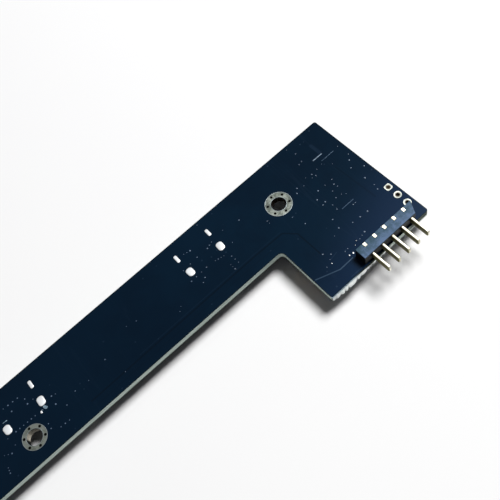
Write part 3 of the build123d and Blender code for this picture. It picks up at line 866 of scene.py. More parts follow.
@dataclass(frozen=True)
class BoardFinish:
    """The whole board: mask on both faces, bare laminate at its rim, its sawn edges and its holes.

    A run, a start, an end or a shade given as two numbers is the stretch in which a tone comes in.
    A wall lies further inside the outline than the inset, and beyond the reach of the screw holes'
    middles it belongs to a via.
    """

    mask: MaskFinish = MaskFinish()
    gaps: tuple[MaskLine, ...] = (
        MaskLine(((-52.0, -5.6), (-11.2, -5.3), (-4.0, -5.5), (-1.95, -7.8), (-1.9, -14.2)), 0.3, 0.5),
        MaskLine(((-52.0, -6.9), (-15.0, -6.6), (-5.0, -6.9)), 0.16, 0.2),
        MaskLine(((13.8, -2.2), (14.2, -12.8)), 0.4, 0.2),
    )
    ridges: tuple[MaskLine, ...] = (
        MaskLine(((-40.0, -4.95), (-11.4, -4.85), (-4.2, -5.0)), 0.14, 0.12),
        MaskLine(((14.1, 2.9), (14.0, 5.4)), 0.8, 0.16),
        MaskLine(((-1.2, -21.9), (2.3, -21.9)), 0.1, 0.6),
        MaskLine(((-1.4, -16.5), (0.4, -16.2)), 0.14, 0.3),
    )
    edge_pale: Rgb = linear(214, 226, 218)
    edge_deep: Rgb = linear(164, 180, 170)
    edge_dark: Rgb = linear(20, 30, 18)
    foot_height: float = 0.36
    score_face: Rgb = linear(168, 190, 206)
    score_z: float = -0.5
    score_shade: Point2 = (-1.5, 1.0)
    snap_end: Point2 = (9.0, 7.5)
    thin_start: Point2 = (12.5, 14.5)
    rim: Rgb = linear(14, 24, 22)
    rim_width: float = 0.14
    # Hole walls, painted in light and shade.
    head_wall_shade: Rgb = linear(52, 44, 36)
    arm_wall_lit: Rgb = linear(230, 224, 206)
    hole_shade_black: Rgb = linear(14, 14, 12)
    wall_reach: float = 1.72
    wall_inset: float = 0.6
    arm_start: float = -30.0
    # Painted sheen and painted shade on the mask.
    mask_sheen_tone: Rgb = linear(22, 42, 73)
    mask_sheen_run: Point2 = (10.0, 26.0)
    falloff_shade_tone: Rgb = linear(0, 14, 31)
    falloff_shade_run: Point2 = (-8.0, -40.0)
    gap_tone: Rgb = linear(1, 7, 18)
    ridge_tone: Rgb = linear(40, 60, 84)

    def _lines(self, coat: Coat, lines: tuple[MaskLine, ...]) -> Socket:
        """Mask of several lines on the solder face: the strongest mask of all their stretches.

        Args:
            coat: the material's graph.
            lines: the lines.

        Returns:
            The mask.
        """
        flat, masks = coat.flat(), []
        for line in lines:
            for start, end in zip(line.corners, line.corners[1:]):
                mask, = coat.effect(Effect.LINE, Vector=flat, Start=flat_metres(start),
                                    End=flat_metres(end), Reach=line.width / 2 * METRES)
                masks.append(coat.times(mask, line.strength))
        on_top = coat.math("GREATER_THAN", coat.split(coat.place)[2], -METRES / 2)
        return coat.times(coat.fold("MAXIMUM", masks), on_top)

    def _wall(self, coat: Coat) -> Socket:
        """Colour inside holes, all painted light and shade: the head's wall is painted dark brown as
        shade, the arm's far side is painted lit and pale, turning brown towards +x and near-black on its
        near side, and the vias are painted near-black as shade.

        Args:
            coat: the material's graph.

        Returns:
            The colour.
        """
        aways = []
        for hole in SCREW_HOLES:
            offset = coat.vector("SUBTRACT", coat.flat(), flat_metres(mount_place(hole)))
            aways.append(coat.vector("LENGTH", offset))
        small = coat.math("GREATER_THAN", coat.fold("MINIMUM", aways), self.wall_reach * METRES)
        x, y, _ = coat.split(coat.place)
        arm_x, arm_y, _ = mount_place("arm_hole")
        # Painted light in the arm's hole: pale where its far wall catches the lamp, shading to brown
        # towards +x and to near-black on the near side.
        plus_x_shading = coat.run(x, (arm_x - 0.9, arm_x - 0.2), 0.0, 0.35)
        bare = coat.run(y, (arm_y + 0.5, arm_y + 1.0))
        arm = coat.mix(bare, self.hole_shade_black, coat.mix(plus_x_shading, self.arm_wall_lit, self.head_wall_shade))
        wall = coat.mix(coat.math("LESS_THAN", x, self.arm_start * METRES), self.head_wall_shade, arm)
        streaks = coat.span(coat.noise(coat.place, 2600.0), 0.3, 0.7, 0.0, 0.45)
        return coat.mix(small, coat.mix(streaks, wall, self.hole_shade_black), self.hole_shade_black)

    def _inside(self, coat: Coat, o: BoardOutline) -> Socket:
        """Distance in metres from the outline to a point inside the L, from the lines of its sides.

        Args:
            coat: the material's graph.
            o: the outline.

        Returns:
            The distance.
        """
        x, y, _ = coat.split(coat.place)
        corner = flat_metres((o.notch_x - o.notch_radius, o.arm_y - o.notch_radius))
        past = coat.vector("SUBTRACT", coat.flat(), corner)
        past = coat.vector("LENGTH", coat.vector("MAXIMUM", past, (0, 0, 0)))
        (low_x, low_y, _), (high_x, high_y, _) = o.low * METRES, o.high * METRES
        sides = [coat.minus(past, o.notch_radius * METRES), coat.minus(y, low_y)]
        sides += [coat.minus(high_y, y), coat.minus(high_x, x), coat.minus(x, low_x)]
        return coat.fold("MINIMUM", sides)

    def _sawn_edge(self, coat: Coat, o: BoardOutline) -> Socket:
        """Colour of the edge.

        Glass layers show as streaks along it and its foot is dark. Where the board was snapped off,
        the scored upper part is grey-blue and turns to painted shadow of the header towards +x, and
        the rest, behind the torn fibre, is painted dark as shade. At the head's end it is dark down
        to a pale foot.

        Args:
            coat: the material's graph.
            o: the outline.

        Returns:
            The colour.
        """
        x, y, z = coat.split(coat.place)
        stretched = {"Vector": coat.place, "Scale": (0.35, 0.35, 9.0)}
        streaks = coat.node("ShaderNodeMapping", stretched).outputs[0]
        layers = coat.span(coat.noise(streaks, 900.0, detail=4.0, roughness=0.7), 0.3, 0.7)
        foot, score = o.low[2] + self.foot_height, self.score_z
        edge = coat.mix(layers, self.edge_deep, self.edge_pale)
        edge = coat.mix(coat.run(z, (foot, foot - 0.1)), edge, self.edge_dark)
        low_side = coat.run(y, (o.low[1] + 0.3, o.low[1] + 0.1))
        # Painted shadow: the scored face darkens from x -1.5 to 1.0 on, where the header's shadow falls,
        # and below the score line the edge is painted dark as the shade behind the torn fibre.
        lit = coat.mix(coat.run(x, self.score_shade), self.score_face, self.edge_dark)
        snapped = coat.mix(coat.run(z, (score - 0.05, score + 0.05)), self.edge_dark, lit)
        edge = coat.mix(coat.times(low_side, coat.run(x, self.snap_end)), edge, snapped)
        after = coat.run(x, self.thin_start, 0.0, 0.85)
        thin = coat.mix(coat.run(z, (foot + 0.06, foot)), self.edge_dark, self.edge_pale)
        return coat.mix(coat.times(low_side, after), edge, thin)

    def build(self, coat: Coat) -> Material:
        """Make the material.

        Args:
            coat: its graph.

        Returns:
            The material.
        """
        o = BoardOutline.read()
        x, y, _ = coat.split(coat.place)
        level = coat.math("GREATER_THAN", coat.math("ABSOLUTE", coat.normal(2)), 0.5)
        colour, rough, peel = self.mask.lay(coat)
        # Painted sheen: the mask turns a lighter blue towards the head's low corner, where the lamp's
        # reflection falls.
        towards = coat.minus(coat.times(x, 0.4), y)
        colour = coat.mix(coat.run(towards, self.mask_sheen_run, 0.0, 0.6), colour, self.mask_sheen_tone)
        # Painted shade: the mask darkens towards the arm's far end, as the light falls off.
        colour = coat.mix(coat.run(x, self.falloff_shade_run, 0.0, 0.5), colour, self.falloff_shade_tone)
        gaps, ridges = (self._lines(coat, lines) for lines in (self.gaps, self.ridges))
        colour = coat.mix(ridges, coat.mix(gaps, colour, self.gap_tone), self.ridge_tone)
        inside, width = self._inside(coat, o), self.rim_width
        stray = 0.4 * width * METRES
        ragged = coat.span(coat.noise(coat.place, 1700.0), 0.3, 0.7, -stray, stray)
        covered = coat.run(coat.plus(inside, ragged), (0.5 * width, 1.1 * width))
        in_hole = coat.math("GREATER_THAN", inside, self.wall_inset * METRES)
        edge = coat.mix(in_hole, self._sawn_edge(coat, o), self._wall(coat))
        colour = coat.mix(level, edge, coat.mix(covered, self.rim, colour))
        coarse = coat.times(coat.noise(coat.place, 5200.0), coat.minus(1.0, level))
        height = coat.plus(coat.minus(coat.times(peel, 0.3), gaps), coat.times(ridges, 0.6))
        height = coat.plus(height, coat.times(coarse, 2.0))
        masked = coat.times(level, covered)
        rough = coat.plus(coat.times(masked, rough), coat.times(coat.minus(1.0, masked), 0.75))
        shine = self.mask.shine()
        return coat.close(colour, rough, height, strength=0.3, depth=0.03, constants=shine)


class Look(Enum):
    """The finish of each material, which is named after the member in small letters."""

    BOARD_MASK_AND_LAMINATE = BoardFinish()
    MASK_OVER_TRACK = MaskFinish(linear(40, 60, 80), linear(60, 80, 102), gloss=0.25)
    # Mask over a track, painted bright as a glint.
    MASK_OVER_BRIGHT_TRACK = MaskFinish(linear(92, 106, 122), linear(120, 134, 148), gloss=0.4)
    MASK_OVER_VIA = MaskFinish(linear(40, 60, 84), linear(96, 116, 140), roughness=0.3, gloss=0.5,
                               tint=(1, 1, 1))
    TINNED_LAND = MetalFinish(linear(138, 144, 137), linear(108, 114, 107), 0.5, patch_scale=500.0,
                              relief=0.4, relief_scale=1500.0)
    TINNED_PAD = MetalFinish(linear(206, 210, 202), linear(176, 182, 174), 0.4, patch_scale=700.0,
                             relief=0.3, metallic=0.5)
    STAINED_TIN = MetalFinish(linear(150, 140, 122), linear(112, 102, 86), 0.5, patch_scale=900.0,
                              relief=0.3, metallic=0.5)
    SMEARED_TIN = MetalFinish(linear(150, 176, 192), linear(66, 92, 112), 0.45, patch_scale=2600.0,
                              relief=0.5, metallic=0.3)
    ROLLED_TIN_RIM = MetalFinish(linear(166, 176, 180), linear(130, 140, 142), 0.4,
                                 patch_scale=700.0, relief=0.3)
    SOLDER_JOINT = MetalFinish(linear(250, 252, 253), linear(238, 242, 245), 0.34, patch_scale=900.0,
                               relief=0.25, relief_scale=1100.0, metallic=0.4)
    # Tin of the contacts, with painted shade on the sides that look along X.
    HEADER_TIN = MetalFinish(linear(246, 243, 228), linear(226, 221, 198), 0.38, patch_scale=800.0,
                             relief=0.2, relief_scale=2600.0, shaded_sides=linear(108, 104, 68))
    PORT_STEEL = MetalFinish(linear(206, 208, 210), linear(176, 178, 182), 0.24, patch_scale=260.0,
                             relief_scale=3000.0, scratched=0.45)
    LEAD_TIN = MetalFinish(linear(208, 210, 212), linear(178, 180, 184), 0.38, relief=0.3)
    CONTACT_GOLD = MetalFinish(linear(226, 186, 104), linear(200, 156, 78), 0.25)
    CRYSTAL_LID = MetalFinish(linear(206, 202, 188), linear(180, 176, 160), 0.3, scratched=0.5)
    # The header's black moulding, with a painted sheen on its top.
    HEADER_BLACK = MouldedFinish(linear(14, 17, 20), linear(9, 12, 15), 0.42, relief=0.15, gloss=0.12,
                                 painted_sheen=(linear(40, 70, 82), linear(90, 114, 147)))
    PORT_BLACK = MouldedFinish(linear(24, 24, 26), linear(18, 18, 20), 0.5)
    PACKAGE_EPOXY = MouldedFinish(linear(40, 41, 42), linear(30, 31, 32), 0.55, relief=0.5)
    FERRITE_GREY = MouldedFinish(linear(92, 93, 96), linear(74, 75, 78), 0.7, grain_scale=3200.0,
                                 relief=0.9, speck=linear(150, 150, 152), speck_share=0.2)
    CERAMIC_TAN = MouldedFinish(linear(176, 142, 104), linear(156, 122, 86), 0.55,
                                speck=linear(120, 92, 60), speck_share=0.12)
    CERAMIC_PALE = MouldedFinish(linear(186, 170, 136), linear(164, 148, 116), 0.5)
    RESISTOR_GLAZE = MouldedFinish(linear(26, 26, 28), linear(20, 20, 22), 0.18, relief=0.1, gloss=0.6)
    LAMP_RESIN = MouldedFinish(linear(236, 232, 200), linear(224, 216, 170), 0.2, relief=0.08,
                               speck_share=0.0, gloss=0.6)
    LEGEND_INK = MouldedFinish(linear(226, 228, 224), linear(206, 208, 204), 0.6,
                               speck=linear(120, 126, 132), speck_share=0.1)
    # Near-black: flat rings round the lands' vias, and painted shade lining two serial holes.
    BURNT_FLUX = MouldedFinish(linear(26, 26, 22), linear(12, 14, 12), 0.5, speck_share=0.0, gloss=0.2)
    BROKEN_GLASS_FIBRE = MouldedFinish(linear(252, 255, 254), linear(228, 238, 236), 0.7, relief=0.8,
                                       speck_share=0.0)


# ---- pieces --------------------------------------------------------------------------------------
class Bench:
    """Where surfaces become pieces. It keeps the materials that are made."""

    def __init__(self) -> None:
        """Start with no materials."""
        self.made: dict[Look, Material] = {}

    def material(self, look: Look) -> Material:
        """The material of a look, made when it is first asked for.

        Args:
            look: the look.

        Returns:
            The material.
        """
        if look not in self.made:
            self.made[look] = look.value.build(Coat(look.name.lower()))
        return self.made[look]

    def dress(self, look: Look, *nodes: str) -> None:
        """Give CAD nodes their material.

        Args:
            look: its look.
            nodes: names of the CAD nodes.
        """
        for node in nodes:
            mesh = frame["nodes"][node].data
            mesh.materials.clear()
            mesh.materials.append(self.material(look))
            log.info("%s: dressed in %s", node, look.name.lower())

    def add(self, name: str, parts: list[Surface], look: Look, slot: str, *replaces: str) -> None:
        """Turn surfaces into one piece that rides on the board.

        Args:
            name: name of the piece.
            parts: its surfaces.
            look: its look.
            slot: the record's material slot; not used.
            replaces: CAD nodes that it stands for.
        """
        whole = joined(parts)
        faces = whole.quads.tolist() + whole.tris.tolist()
        mesh = bpy.data.meshes.new(name)
        mesh.from_pydata(whole.points * METRES, [], faces)
        mesh.validate()
        mesh.shade_smooth()
        mesh.set_sharp_from_angle(angle=SMOOTH_ANGLE)
        mesh.materials.append(self.material(look))
        piece = bpy.data.objects.new(name, mesh)
        bpy.context.scene.collection.objects.link(piece)
        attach(piece, BODY)
        if replaces:
            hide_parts(*replaces)
        log.info("%s: %d faces", name, len(faces))


@dataclass
class Assembly:
    """A sub-assembly with the bench that its pieces are made on."""

    bench: Bench

    @cached_property
    def face_z(self) -> float:
        """Height of the component face, which is the lower face of the board."""
        return node_box("board")[0][2]


# ---- the board -----------------------------------------------------------------------------------
@dataclass
class Board(Assembly):
    """The laminate with its mask, tracks, vias and snapped edge.

    A row of evenly spaced vias has the x and y of its first and last one, and their number. The
    burr runs between two distances from the notch.
    """

    track_height: float = 0.03
    via_radius: float = 0.125
    via_spread: float = 0.4
    via_seed: int = 11
    via_height: float = 0.035
    burr_run: Point2 = (0.15, 16.0)
    burr_reach: float = 0.56
    burr_seed: int = 7
    tracks: tuple[tuple[Path2, float], ...] = (
        (((1.8, -19.24), (-1.6, -19.3), (-6.4, -17.52)), 0.24),
        (((7.8, -10.15), (10.9, -10.15)), 0.18),
        (((12.9, 1.05), (16.2, 1.05)), 0.17),
    )
    glint_track: Path2 = ((11.7, 2.4), (14.2, 2.4))
    glint_track_width: float = 0.26
    via_rows: tuple[tuple[float, float, float, float, int], ...] = (
        (-70.7, -4.6, -70.9, -5.7, 3), (-70.1, -2.2, -68.8, -2.9, 3), (-68.0, 0.0, -67.5, -2.0, 2),
        (-66.1, 0.0, -61.7, -0.1, 6), (-65.7, 5.5, -62.5, 5.3, 4), (-64.7, 3.9, -61.5, 4.1, 2),
        (-61.6, 2.9, -60.3, 2.9, 2), (-60.7, -4.3, -60.6, -3.2, 2), (-59.1, -5.4, -57.2, -5.5, 3),
        (-57.3, 0.8, -57.5, -1.1, 2), (-56.5, 0.6, -56.0, -2.8, 2), (-53.3, -1.7, -50.2, -1.9, 2),
        (-23.4, -0.3, -19.4, -0.1, 4), (-17.2, -0.3, -15.3, -0.7, 4), (-23.1, 2.7, -19.3, 3.0, 3),
        (-16.6, 3.0, -15.1, 3.5, 3), (-20.8, 5.5, -19.4, 5.2, 3), (-21.9, -2.2, -21.0, -1.6, 2),
        (-15.6, -3.2, -15.6, -4.5, 3), (-14.3, -1.9, -14.2, -3.9, 3), (-14.7, 8.7, -12.2, 0.3, 2),
        (-11.8, 3.9, -8.0, 3.2, 2), (-4.2, -1.2, -4.2, -1.9, 2), (4.2, -0.9, 6.4, -0.6, 2),
        (8.8, -0.5, 9.7, -0.6, 2), (5.0, 0.0, 7.9, 0.5, 2), (9.3, 0.2, 12.4, 0.5, 3),
        (13.9, -1.1, 17.6, 1.2, 2), (5.9, -5.0, 5.9, -6.7, 2), (6.7, -6.5, 7.2, -8.1, 2),
        (8.8, -7.4, 10.9, -5.7, 2), (15.9, -8.3, 15.9, -8.3, 1), (7.5, -3.6, 11.2, -3.7, 3),
        (9.4, -5.8, 10.7, -4.8, 2), (10.1, -7.6, 10.8, -8.2, 2), (10.0, -11.0, 10.6, -11.0, 2),
        (9.2, 3.9, 10.1, 4.1, 2), (7.1, -9.4, 4.9, -10.5, 2), (15.7, -4.6, 17.8, -6.2, 2),
        (16.8, -3.0, 17.7, -1.8, 2), (15.7, -12.0, 16.0, -10.8, 2), (7.1, -13.8, 10.8, -14.1, 3),
        (4.4, -12.7, 2.6, -13.4, 2), (5.5, -17.35, 7.2, -16.9, 3), (1.65, -17.27, 2.43, -17.16, 2),
        (-3.05, -17.15, -1.5, -16.4, 2), (-1.7, -14.6, -0.6, -15.7, 2), (-0.2, -4.3, 0.6, -7.2, 2),
        (9.9, 8.5, 10.5, 6.4, 2), (-29.0, -3.6, -28.2, -2.9, 2), (-38.5, 1.6, -36.4, 1.1, 2),
        (-45.5, -0.8, -44.0, -5.6, 2),
    )

    def build(self) -> None:
        """Dress the laminate and add everything that lies on it."""
        self.bench.dress(Look.BOARD_MASK_AND_LAMINATE, "board")
        self._tracks()
        self._vias()
        self._burr()

    def _tracks(self) -> None:
        """Copper tracks on the solder face, raised under the mask and lighter than it, partly as the tone
        of mask over copper and partly as a painted glint; one short track is painted brighter still as a
        glint.
        """
        tracks = [ribbon(path, width, self.track_height) for path, width in self.tracks]
        self.bench.add("solder_side_tracks", tracks, Look.MASK_OVER_TRACK, "laminate")
        # Painted glint: this short track is painted much brighter than the others.
        glint_ribbon = ribbon(self.glint_track, self.glint_track_width, self.track_height)
        self.bench.add("glint_track", [glint_ribbon], Look.MASK_OVER_BRIGHT_TRACK, "laminate")

    def _vias(self) -> None:
        """Mask-covered vias as low round caps on both faces."""
        rows = (np.linspace(row[:2], row[2:4], row[4]) for row in self.via_rows)
        centres = np.concatenate(list(rows))
        sizes = 1 + self.via_spread * np.random.default_rng(self.via_seed).uniform(-1, 1, len(centres))
        circle = stadium_ring(self.via_radius * 2, self.via_radius * 2, 12)
        top, low = [], []
        for (x, y), size in zip(centres, sizes):
            cap = mound(circle * size, self.via_height * size, fullness=0.8, layers=4, sink=0.01)
            top.append(cap.at((x, y, 0)))
            low.append(cap.flipped().at((x, y, self.face_z)))
        self.bench.add("solder_side_vias", top, Look.MASK_OVER_VIA, "laminate")
        self.bench.add("component_side_vias", low, Look.MASK_OVER_VIA, "laminate")

    def _burr(self) -> None:
        """Torn glass fibre along the head's edge, left where the board was snapped from its panel.

        At share t along the edge its lower line climbs from the board's foot to half its height,
        by a steady slope and by scallops, the size of a sine of t whose phase wanders with others.
        Four fifths of the way from the scored line down to that lower line it stands out most.
        """
        o = BoardOutline.read()
        share = np.linspace(0, 1, 240)[:, None]
        wave = np.abs(np.sin(44 * share + 1.8 * np.sin(9 * share) + 0.7 * np.sin(31 * share)))
        foot = np.interp(share, (0, 0.2, 0.55, 1), (1.5, 1.4, 1.12, 0.95))
        foot += (wave - 0.6) * np.interp(share, (0, 0.5, 0.7), (0.24, 0.16, 0.04))
        foot += 0.03 * np.random.default_rng(self.burr_seed).standard_normal(share.shape)
        foot = np.clip(foot, 0.7, -o.low[2] - 0.02)
        head = np.interp(share, (0, 0.5, 0.62, 1), (0.5, 0.5, 0.72, 0.66))
        fade = np.interp(share, (0, 0.1, 0.3, 0.6, 1), (0.12, 0.8, 0.95, 0.45, 0.2))
        reach = self.burr_reach * fade * (0.48 + 0.55 * wave)
        level = np.linspace(0, 1, 7)
        bulge = np.interp(level, (0, 0.4, 0.8, 1), (0, 0.65, 1, 0.75))
        x = o.notch_x + self.burr_run[0] + (self.burr_run[1] - self.burr_run[0]) * share
        outer = grid(x, o.low[1] - reach * bulge - 0.005, -(head + (foot - head) * level))
        back = outer[:, [-1, 0]]
        back[..., 1] = o.low[1] + 0.05
        torn = rings_surface(np.concatenate([outer, back], 1))
        self.bench.add("snapped_edge", [torn], Look.BROKEN_GLASS_FIBRE, "laminate")


@dataclass
class ScrewLands(Assembly):
    """The tinned lands round the two screw holes."""

    hole_radius: float = 1.6
    bead: float = 0.05
    land_height: float = 0.05
    via_circles: Point2 = (4.5, 4.15)
    via_radius: float = 0.2
    dark_ring_radius: float = 0.29

    def build(self) -> None:
        """Dress the lands and add their rolled rims of tin and a flat near-black ring round each of their
        vias.
        """
        self.bench.dress(Look.TINNED_LAND, "mounting_lands")
        boxes = solid_boxes("mounting_lands")
        turn, around = np.arange(8) * math.tau / 8, np.radians(30 + 60 * np.arange(6))
        low, high = self.land_height - 0.01, self.land_height + 0.004
        inner, outer = self.via_radius, self.dark_ring_radius
        collar = revolved([(inner, low), (outer, low), (outer, high), (inner, high)], 16)
        rims, collars = [], []
        for hole, circle in zip(SCREW_HOLES, self.via_circles):
            centre = mount_place(hole)
            land = boxes[np.abs(middles(boxes)[:, 0] - centre[0]) < 1][0]
            for radius in (self.hole_radius + self.bead, (land[3] - land[0]) / 2 - self.bead):
                height = self.land_height + 0.6 * self.bead * np.sin(turn)
                profile = np.stack([radius + self.bead * np.cos(turn), height], 1)
                rims.append(revolved(profile, 72).at(centre))
            vias = grid(circle / 2 * np.cos(around), circle / 2 * np.sin(around), 0.0)
            collars.append(collar.at(vias + centre))
        self.bench.add("land_rims", rims, Look.ROLLED_TIN_RIM, "tinned_copper")
        self.bench.add("land_via_dark_rings", collars, Look.BURNT_FLUX, "tinned_copper")


@dataclass
class SerialPads(Assembly):
    """The row of three open plated holes.

    The rim's profile is measured outwards from a hole's edge and upwards from its pad.
    """

    hole_radius: float = 0.4
    liner: float = 0.02
    rim: Path2 = ((0.0, -0.005), (0.14, -0.005), (0.1, 0.03), (0.02, 0.02))

    def build(self) -> None:
        """Dress the pads, line their holes and add a rim of tin to each."""
        self.bench.dress(Look.TINNED_PAD, "serial_pads")
        (_, _, low), (_, _, high) = node_box("serial_pads")
        outer = self.hole_radius
        inner = outer - self.liner
        lining = revolved([(inner, high), (inner, low), (outer, low), (outer, high)], 28)
        rim = revolved(np.array(self.rim) + (outer, high), 28)
        holes = np.array([mount_place("serial_hole_%d" % (i + 1)) for i in range(3)])
        # Painted shade: the second and third holes are lined near-black, standing in for the shade inside
        # them.
        for name, surface, look in (
            ("shaded_hole_linings", lining.at(holes[1:]), Look.BURNT_FLUX),
            ("stained_hole_lining", lining.at(holes[:1]), Look.STAINED_TIN),
            ("serial_hole_rims", rim.at(holes), Look.STAINED_TIN),
        ):
            self.bench.add(name, [surface], look, "tinned_copper")


@dataclass
class PinHeader(Assembly):
    """The right-angle header: moulding, stamped contacts and their solder.

    A softness is the exponent of a bar's rounded section.
    """

    contact_width: float = 0.64
    leg_depth: float = 0.83
    leg_softness: float = 9.0
    arm_height: float = 1.6
    arm_softness: float = 4.5
    tip_run: float = 0.4
    cone_radius: float = 0.95
    cone_height: float = 0.95
    cone_bore: float = 0.2
    cone_inset: float = 0.06

    def build(self) -> None:
        """Dress the moulding, and build contacts with rolled edges and hollow solder cones."""
        self.bench.dress(Look.HEADER_BLACK, "header_housing")
        boxes = solid_boxes("header_contacts")
        leg_y = boxes[0, 4] - self.leg_depth / 2
        pitch = grid(middles(boxes)[:, 0], 0.0, 0.0)
        contact = self._contact(boxes[0, :3], boxes[0, 3:], leg_y).at(pitch)
        cones = self._cone().at(pitch + (0, leg_y, 0))
        self.bench.add("stamped_contacts", [contact], Look.HEADER_TIN, "header_tin", "header_contacts")
        self.bench.add("header_solder_cones", [cones], Look.SOLDER_JOINT, "solder", "header_solder")

    def _contact(self, low: np.ndarray, high: np.ndarray, leg_y: float) -> Surface:
        """An upright bar, and a level bar whose last stretch narrows to its tip.

        Args:
            low: low corner of the CAD contact.
            high: its high corner.
            leg_y: middle of the upright bar.

        Returns:
            The contact at x 0.
        """
        points = node_points("header_contacts")
        arm_top = points[points[:, 1] < points[:, 1].min() + 1.0, 2].max()
        ends = [low[2], low[2] + 0.06], [high[2] - 0.03, high[2]]
        z = np.concatenate([ends[0], np.linspace(low[2] + 0.2, high[2] - 0.12, 8), ends[1]])
        taper = np.concatenate([[0.7, 0.92], np.ones(8), [0.98, 0.92]])
        leg = rounded_bar(leg_y, z, self.contact_width * taper, self.leg_depth * taper,
                          self.leg_softness)
        tip = low[1] + np.array([0, 0.05, 0.14, self.tip_run])
        y = np.concatenate([tip, np.linspace(tip[-1] + 0.2, leg_y, 8)])
        narrow = np.concatenate([[0.5, 0.68, 0.86, 1.0], np.ones(8)])
        arm = rounded_bar(y, arm_top - self.arm_height / 2, self.contact_width * narrow,
                          self.arm_height * narrow, self.arm_softness)
        return joined([leg, arm])

    def _cone(self) -> Surface:
        """A hollow-sided cone of solder under the board.

        At share s down the cone its radius falls from the foot to the leg's corner by (1 - s) to
        the power 2.2.

        Returns:
            The cone at x 0, y 0.
        """
        share = np.linspace(1, 0, 10)
        neck = math.hypot(self.contact_width, self.leg_depth) / 2 - self.cone_inset
        radius = neck + (self.cone_radius - neck) * (1 - share) ** 2.2
        side = np.stack([radius, self.face_z - self.cone_height * share], 1)
        bore = [(self.cone_bore, side[0, 1]), (self.cone_bore, self.face_z - 0.01)]
        return revolved([bore[0], *side, bore[1]], 36)


class Port(Enum):
    """The two receptacles, by the prefix of their CAD nodes."""

    MID = "mid_port"
    END = "end_port"


@dataclass
class Receptacle(Assembly):
    """One receptacle under the board, with its solder on the solder face.

    A mound has its width, length and height, and a joint wider than the rear's least is a rear one.
    """

    port: Port
    front_size: tuple[float, float, float] = (0.72, 1.84, 0.16)
    rear_size: tuple[float, float, float] = (1.52, 2.02, 0.22)
    rear_least: float = 1.0
    squareness: float = 0.16

    def build(self) -> None:
        """Dress it, and build a flat mound over each front tab and a round-topped one over each rear."""
        name = self.port.value
        self.bench.dress(Look.PORT_STEEL, name + "_shell")
        self.bench.dress(Look.PORT_BLACK, name + "_insulator")
        self.bench.dress(Look.CONTACT_GOLD, name + "_contacts")
        mounds = []
        for index, box in enumerate(solid_boxes(name + "_solder")):
            rear = box[3] - box[0] > self.rear_least
            width, length, height = self.rear_size if rear else self.front_size
            ring = stadium_ring(width, length, 40)
            square = np.sign(ring) * (width / 2, length / 2)
            ring = ring * (1 - self.squareness) + square * self.squareness
            shape = mound(ring, height, fullness=0.5, layers=10, slump=0.03, seed=index + len(name))
            mounds.append(shape.at(middles(box) * (1, 1, 0)))
        self.bench.add(name + "_mounds", mounds, Look.SOLDER_JOINT, "solder", name + "_solder")


@dataclass
class LooseSolder(Assembly):
    """Splashes and smears of solder on the solder face.

    Each has its x, y, width, length and turn.
    """

    splashes: tuple[tuple[float, ...], ...] = (
        (-60.4, -0.42, 0.42, 0.5, -15.0), (2.5, -18.6, 0.36, 0.38, 0.0),
        (1.66, -18.46, 0.24, 0.32, 0.0), (-1.83, -17.27, 0.2, 0.24, 0.0),
        (3.94, -17.7, 0.14, 0.16, 0.0), (4.74, -17.16, 0.14, 0.16, 0.0),
    )
    smears: tuple[tuple[float, ...], ...] = (
        (-59.33, -0.14, 0.62, 0.9, 30.0), (-60.05, -0.2, 0.16, 0.34, 50.0),
        (-66.72, 3.12, 0.16, 0.95, 85.0),
    )
    height: float = 0.09
    first_seed: int = 40

    def build(self) -> None:
        """Each splash or smear is a low uneven mound with its own seed."""
        for name, places, look in (("solder_splashes", self.splashes, Look.SOLDER_JOINT),
                                   ("solder_smears", self.smears, Look.SMEARED_TIN)):
            mounds = []
            for index, (x, y, width, length, turn) in enumerate(places):
                ring = stadium_ring(width, length, 26)
                shape = mound(ring, self.height, fullness=0.5, layers=6, slump=0.1,
                              seed=self.first_seed + index)
                mounds.append(shape.at((x, y, 0), turn))
            self.bench.add(name, mounds, look, "solder")


# ---- parts under the board -----------------------------------------------------------------------
class Package(Enum):
    """Moulded packages with leads, by the prefix of their CAD nodes."""

    CONTROLLER = "controller"
    CONVERTER = "converter"
    TRANSCEIVER = "transceiver"
    MID_ARRAY = "mid_surge_array"
    END_ARRAY = "end_surge_array"
    REGULATOR = "regulator"
    DIODE = "diode"


class Chip(Enum):
    """Two-terminal chips, by the prefix of their CAD nodes."""

    RESISTOR = "resistor"
    CAPACITOR = "capacitor"
    POWER_CAPACITOR = "power_capacitor"
    LIGHT = "status_light"


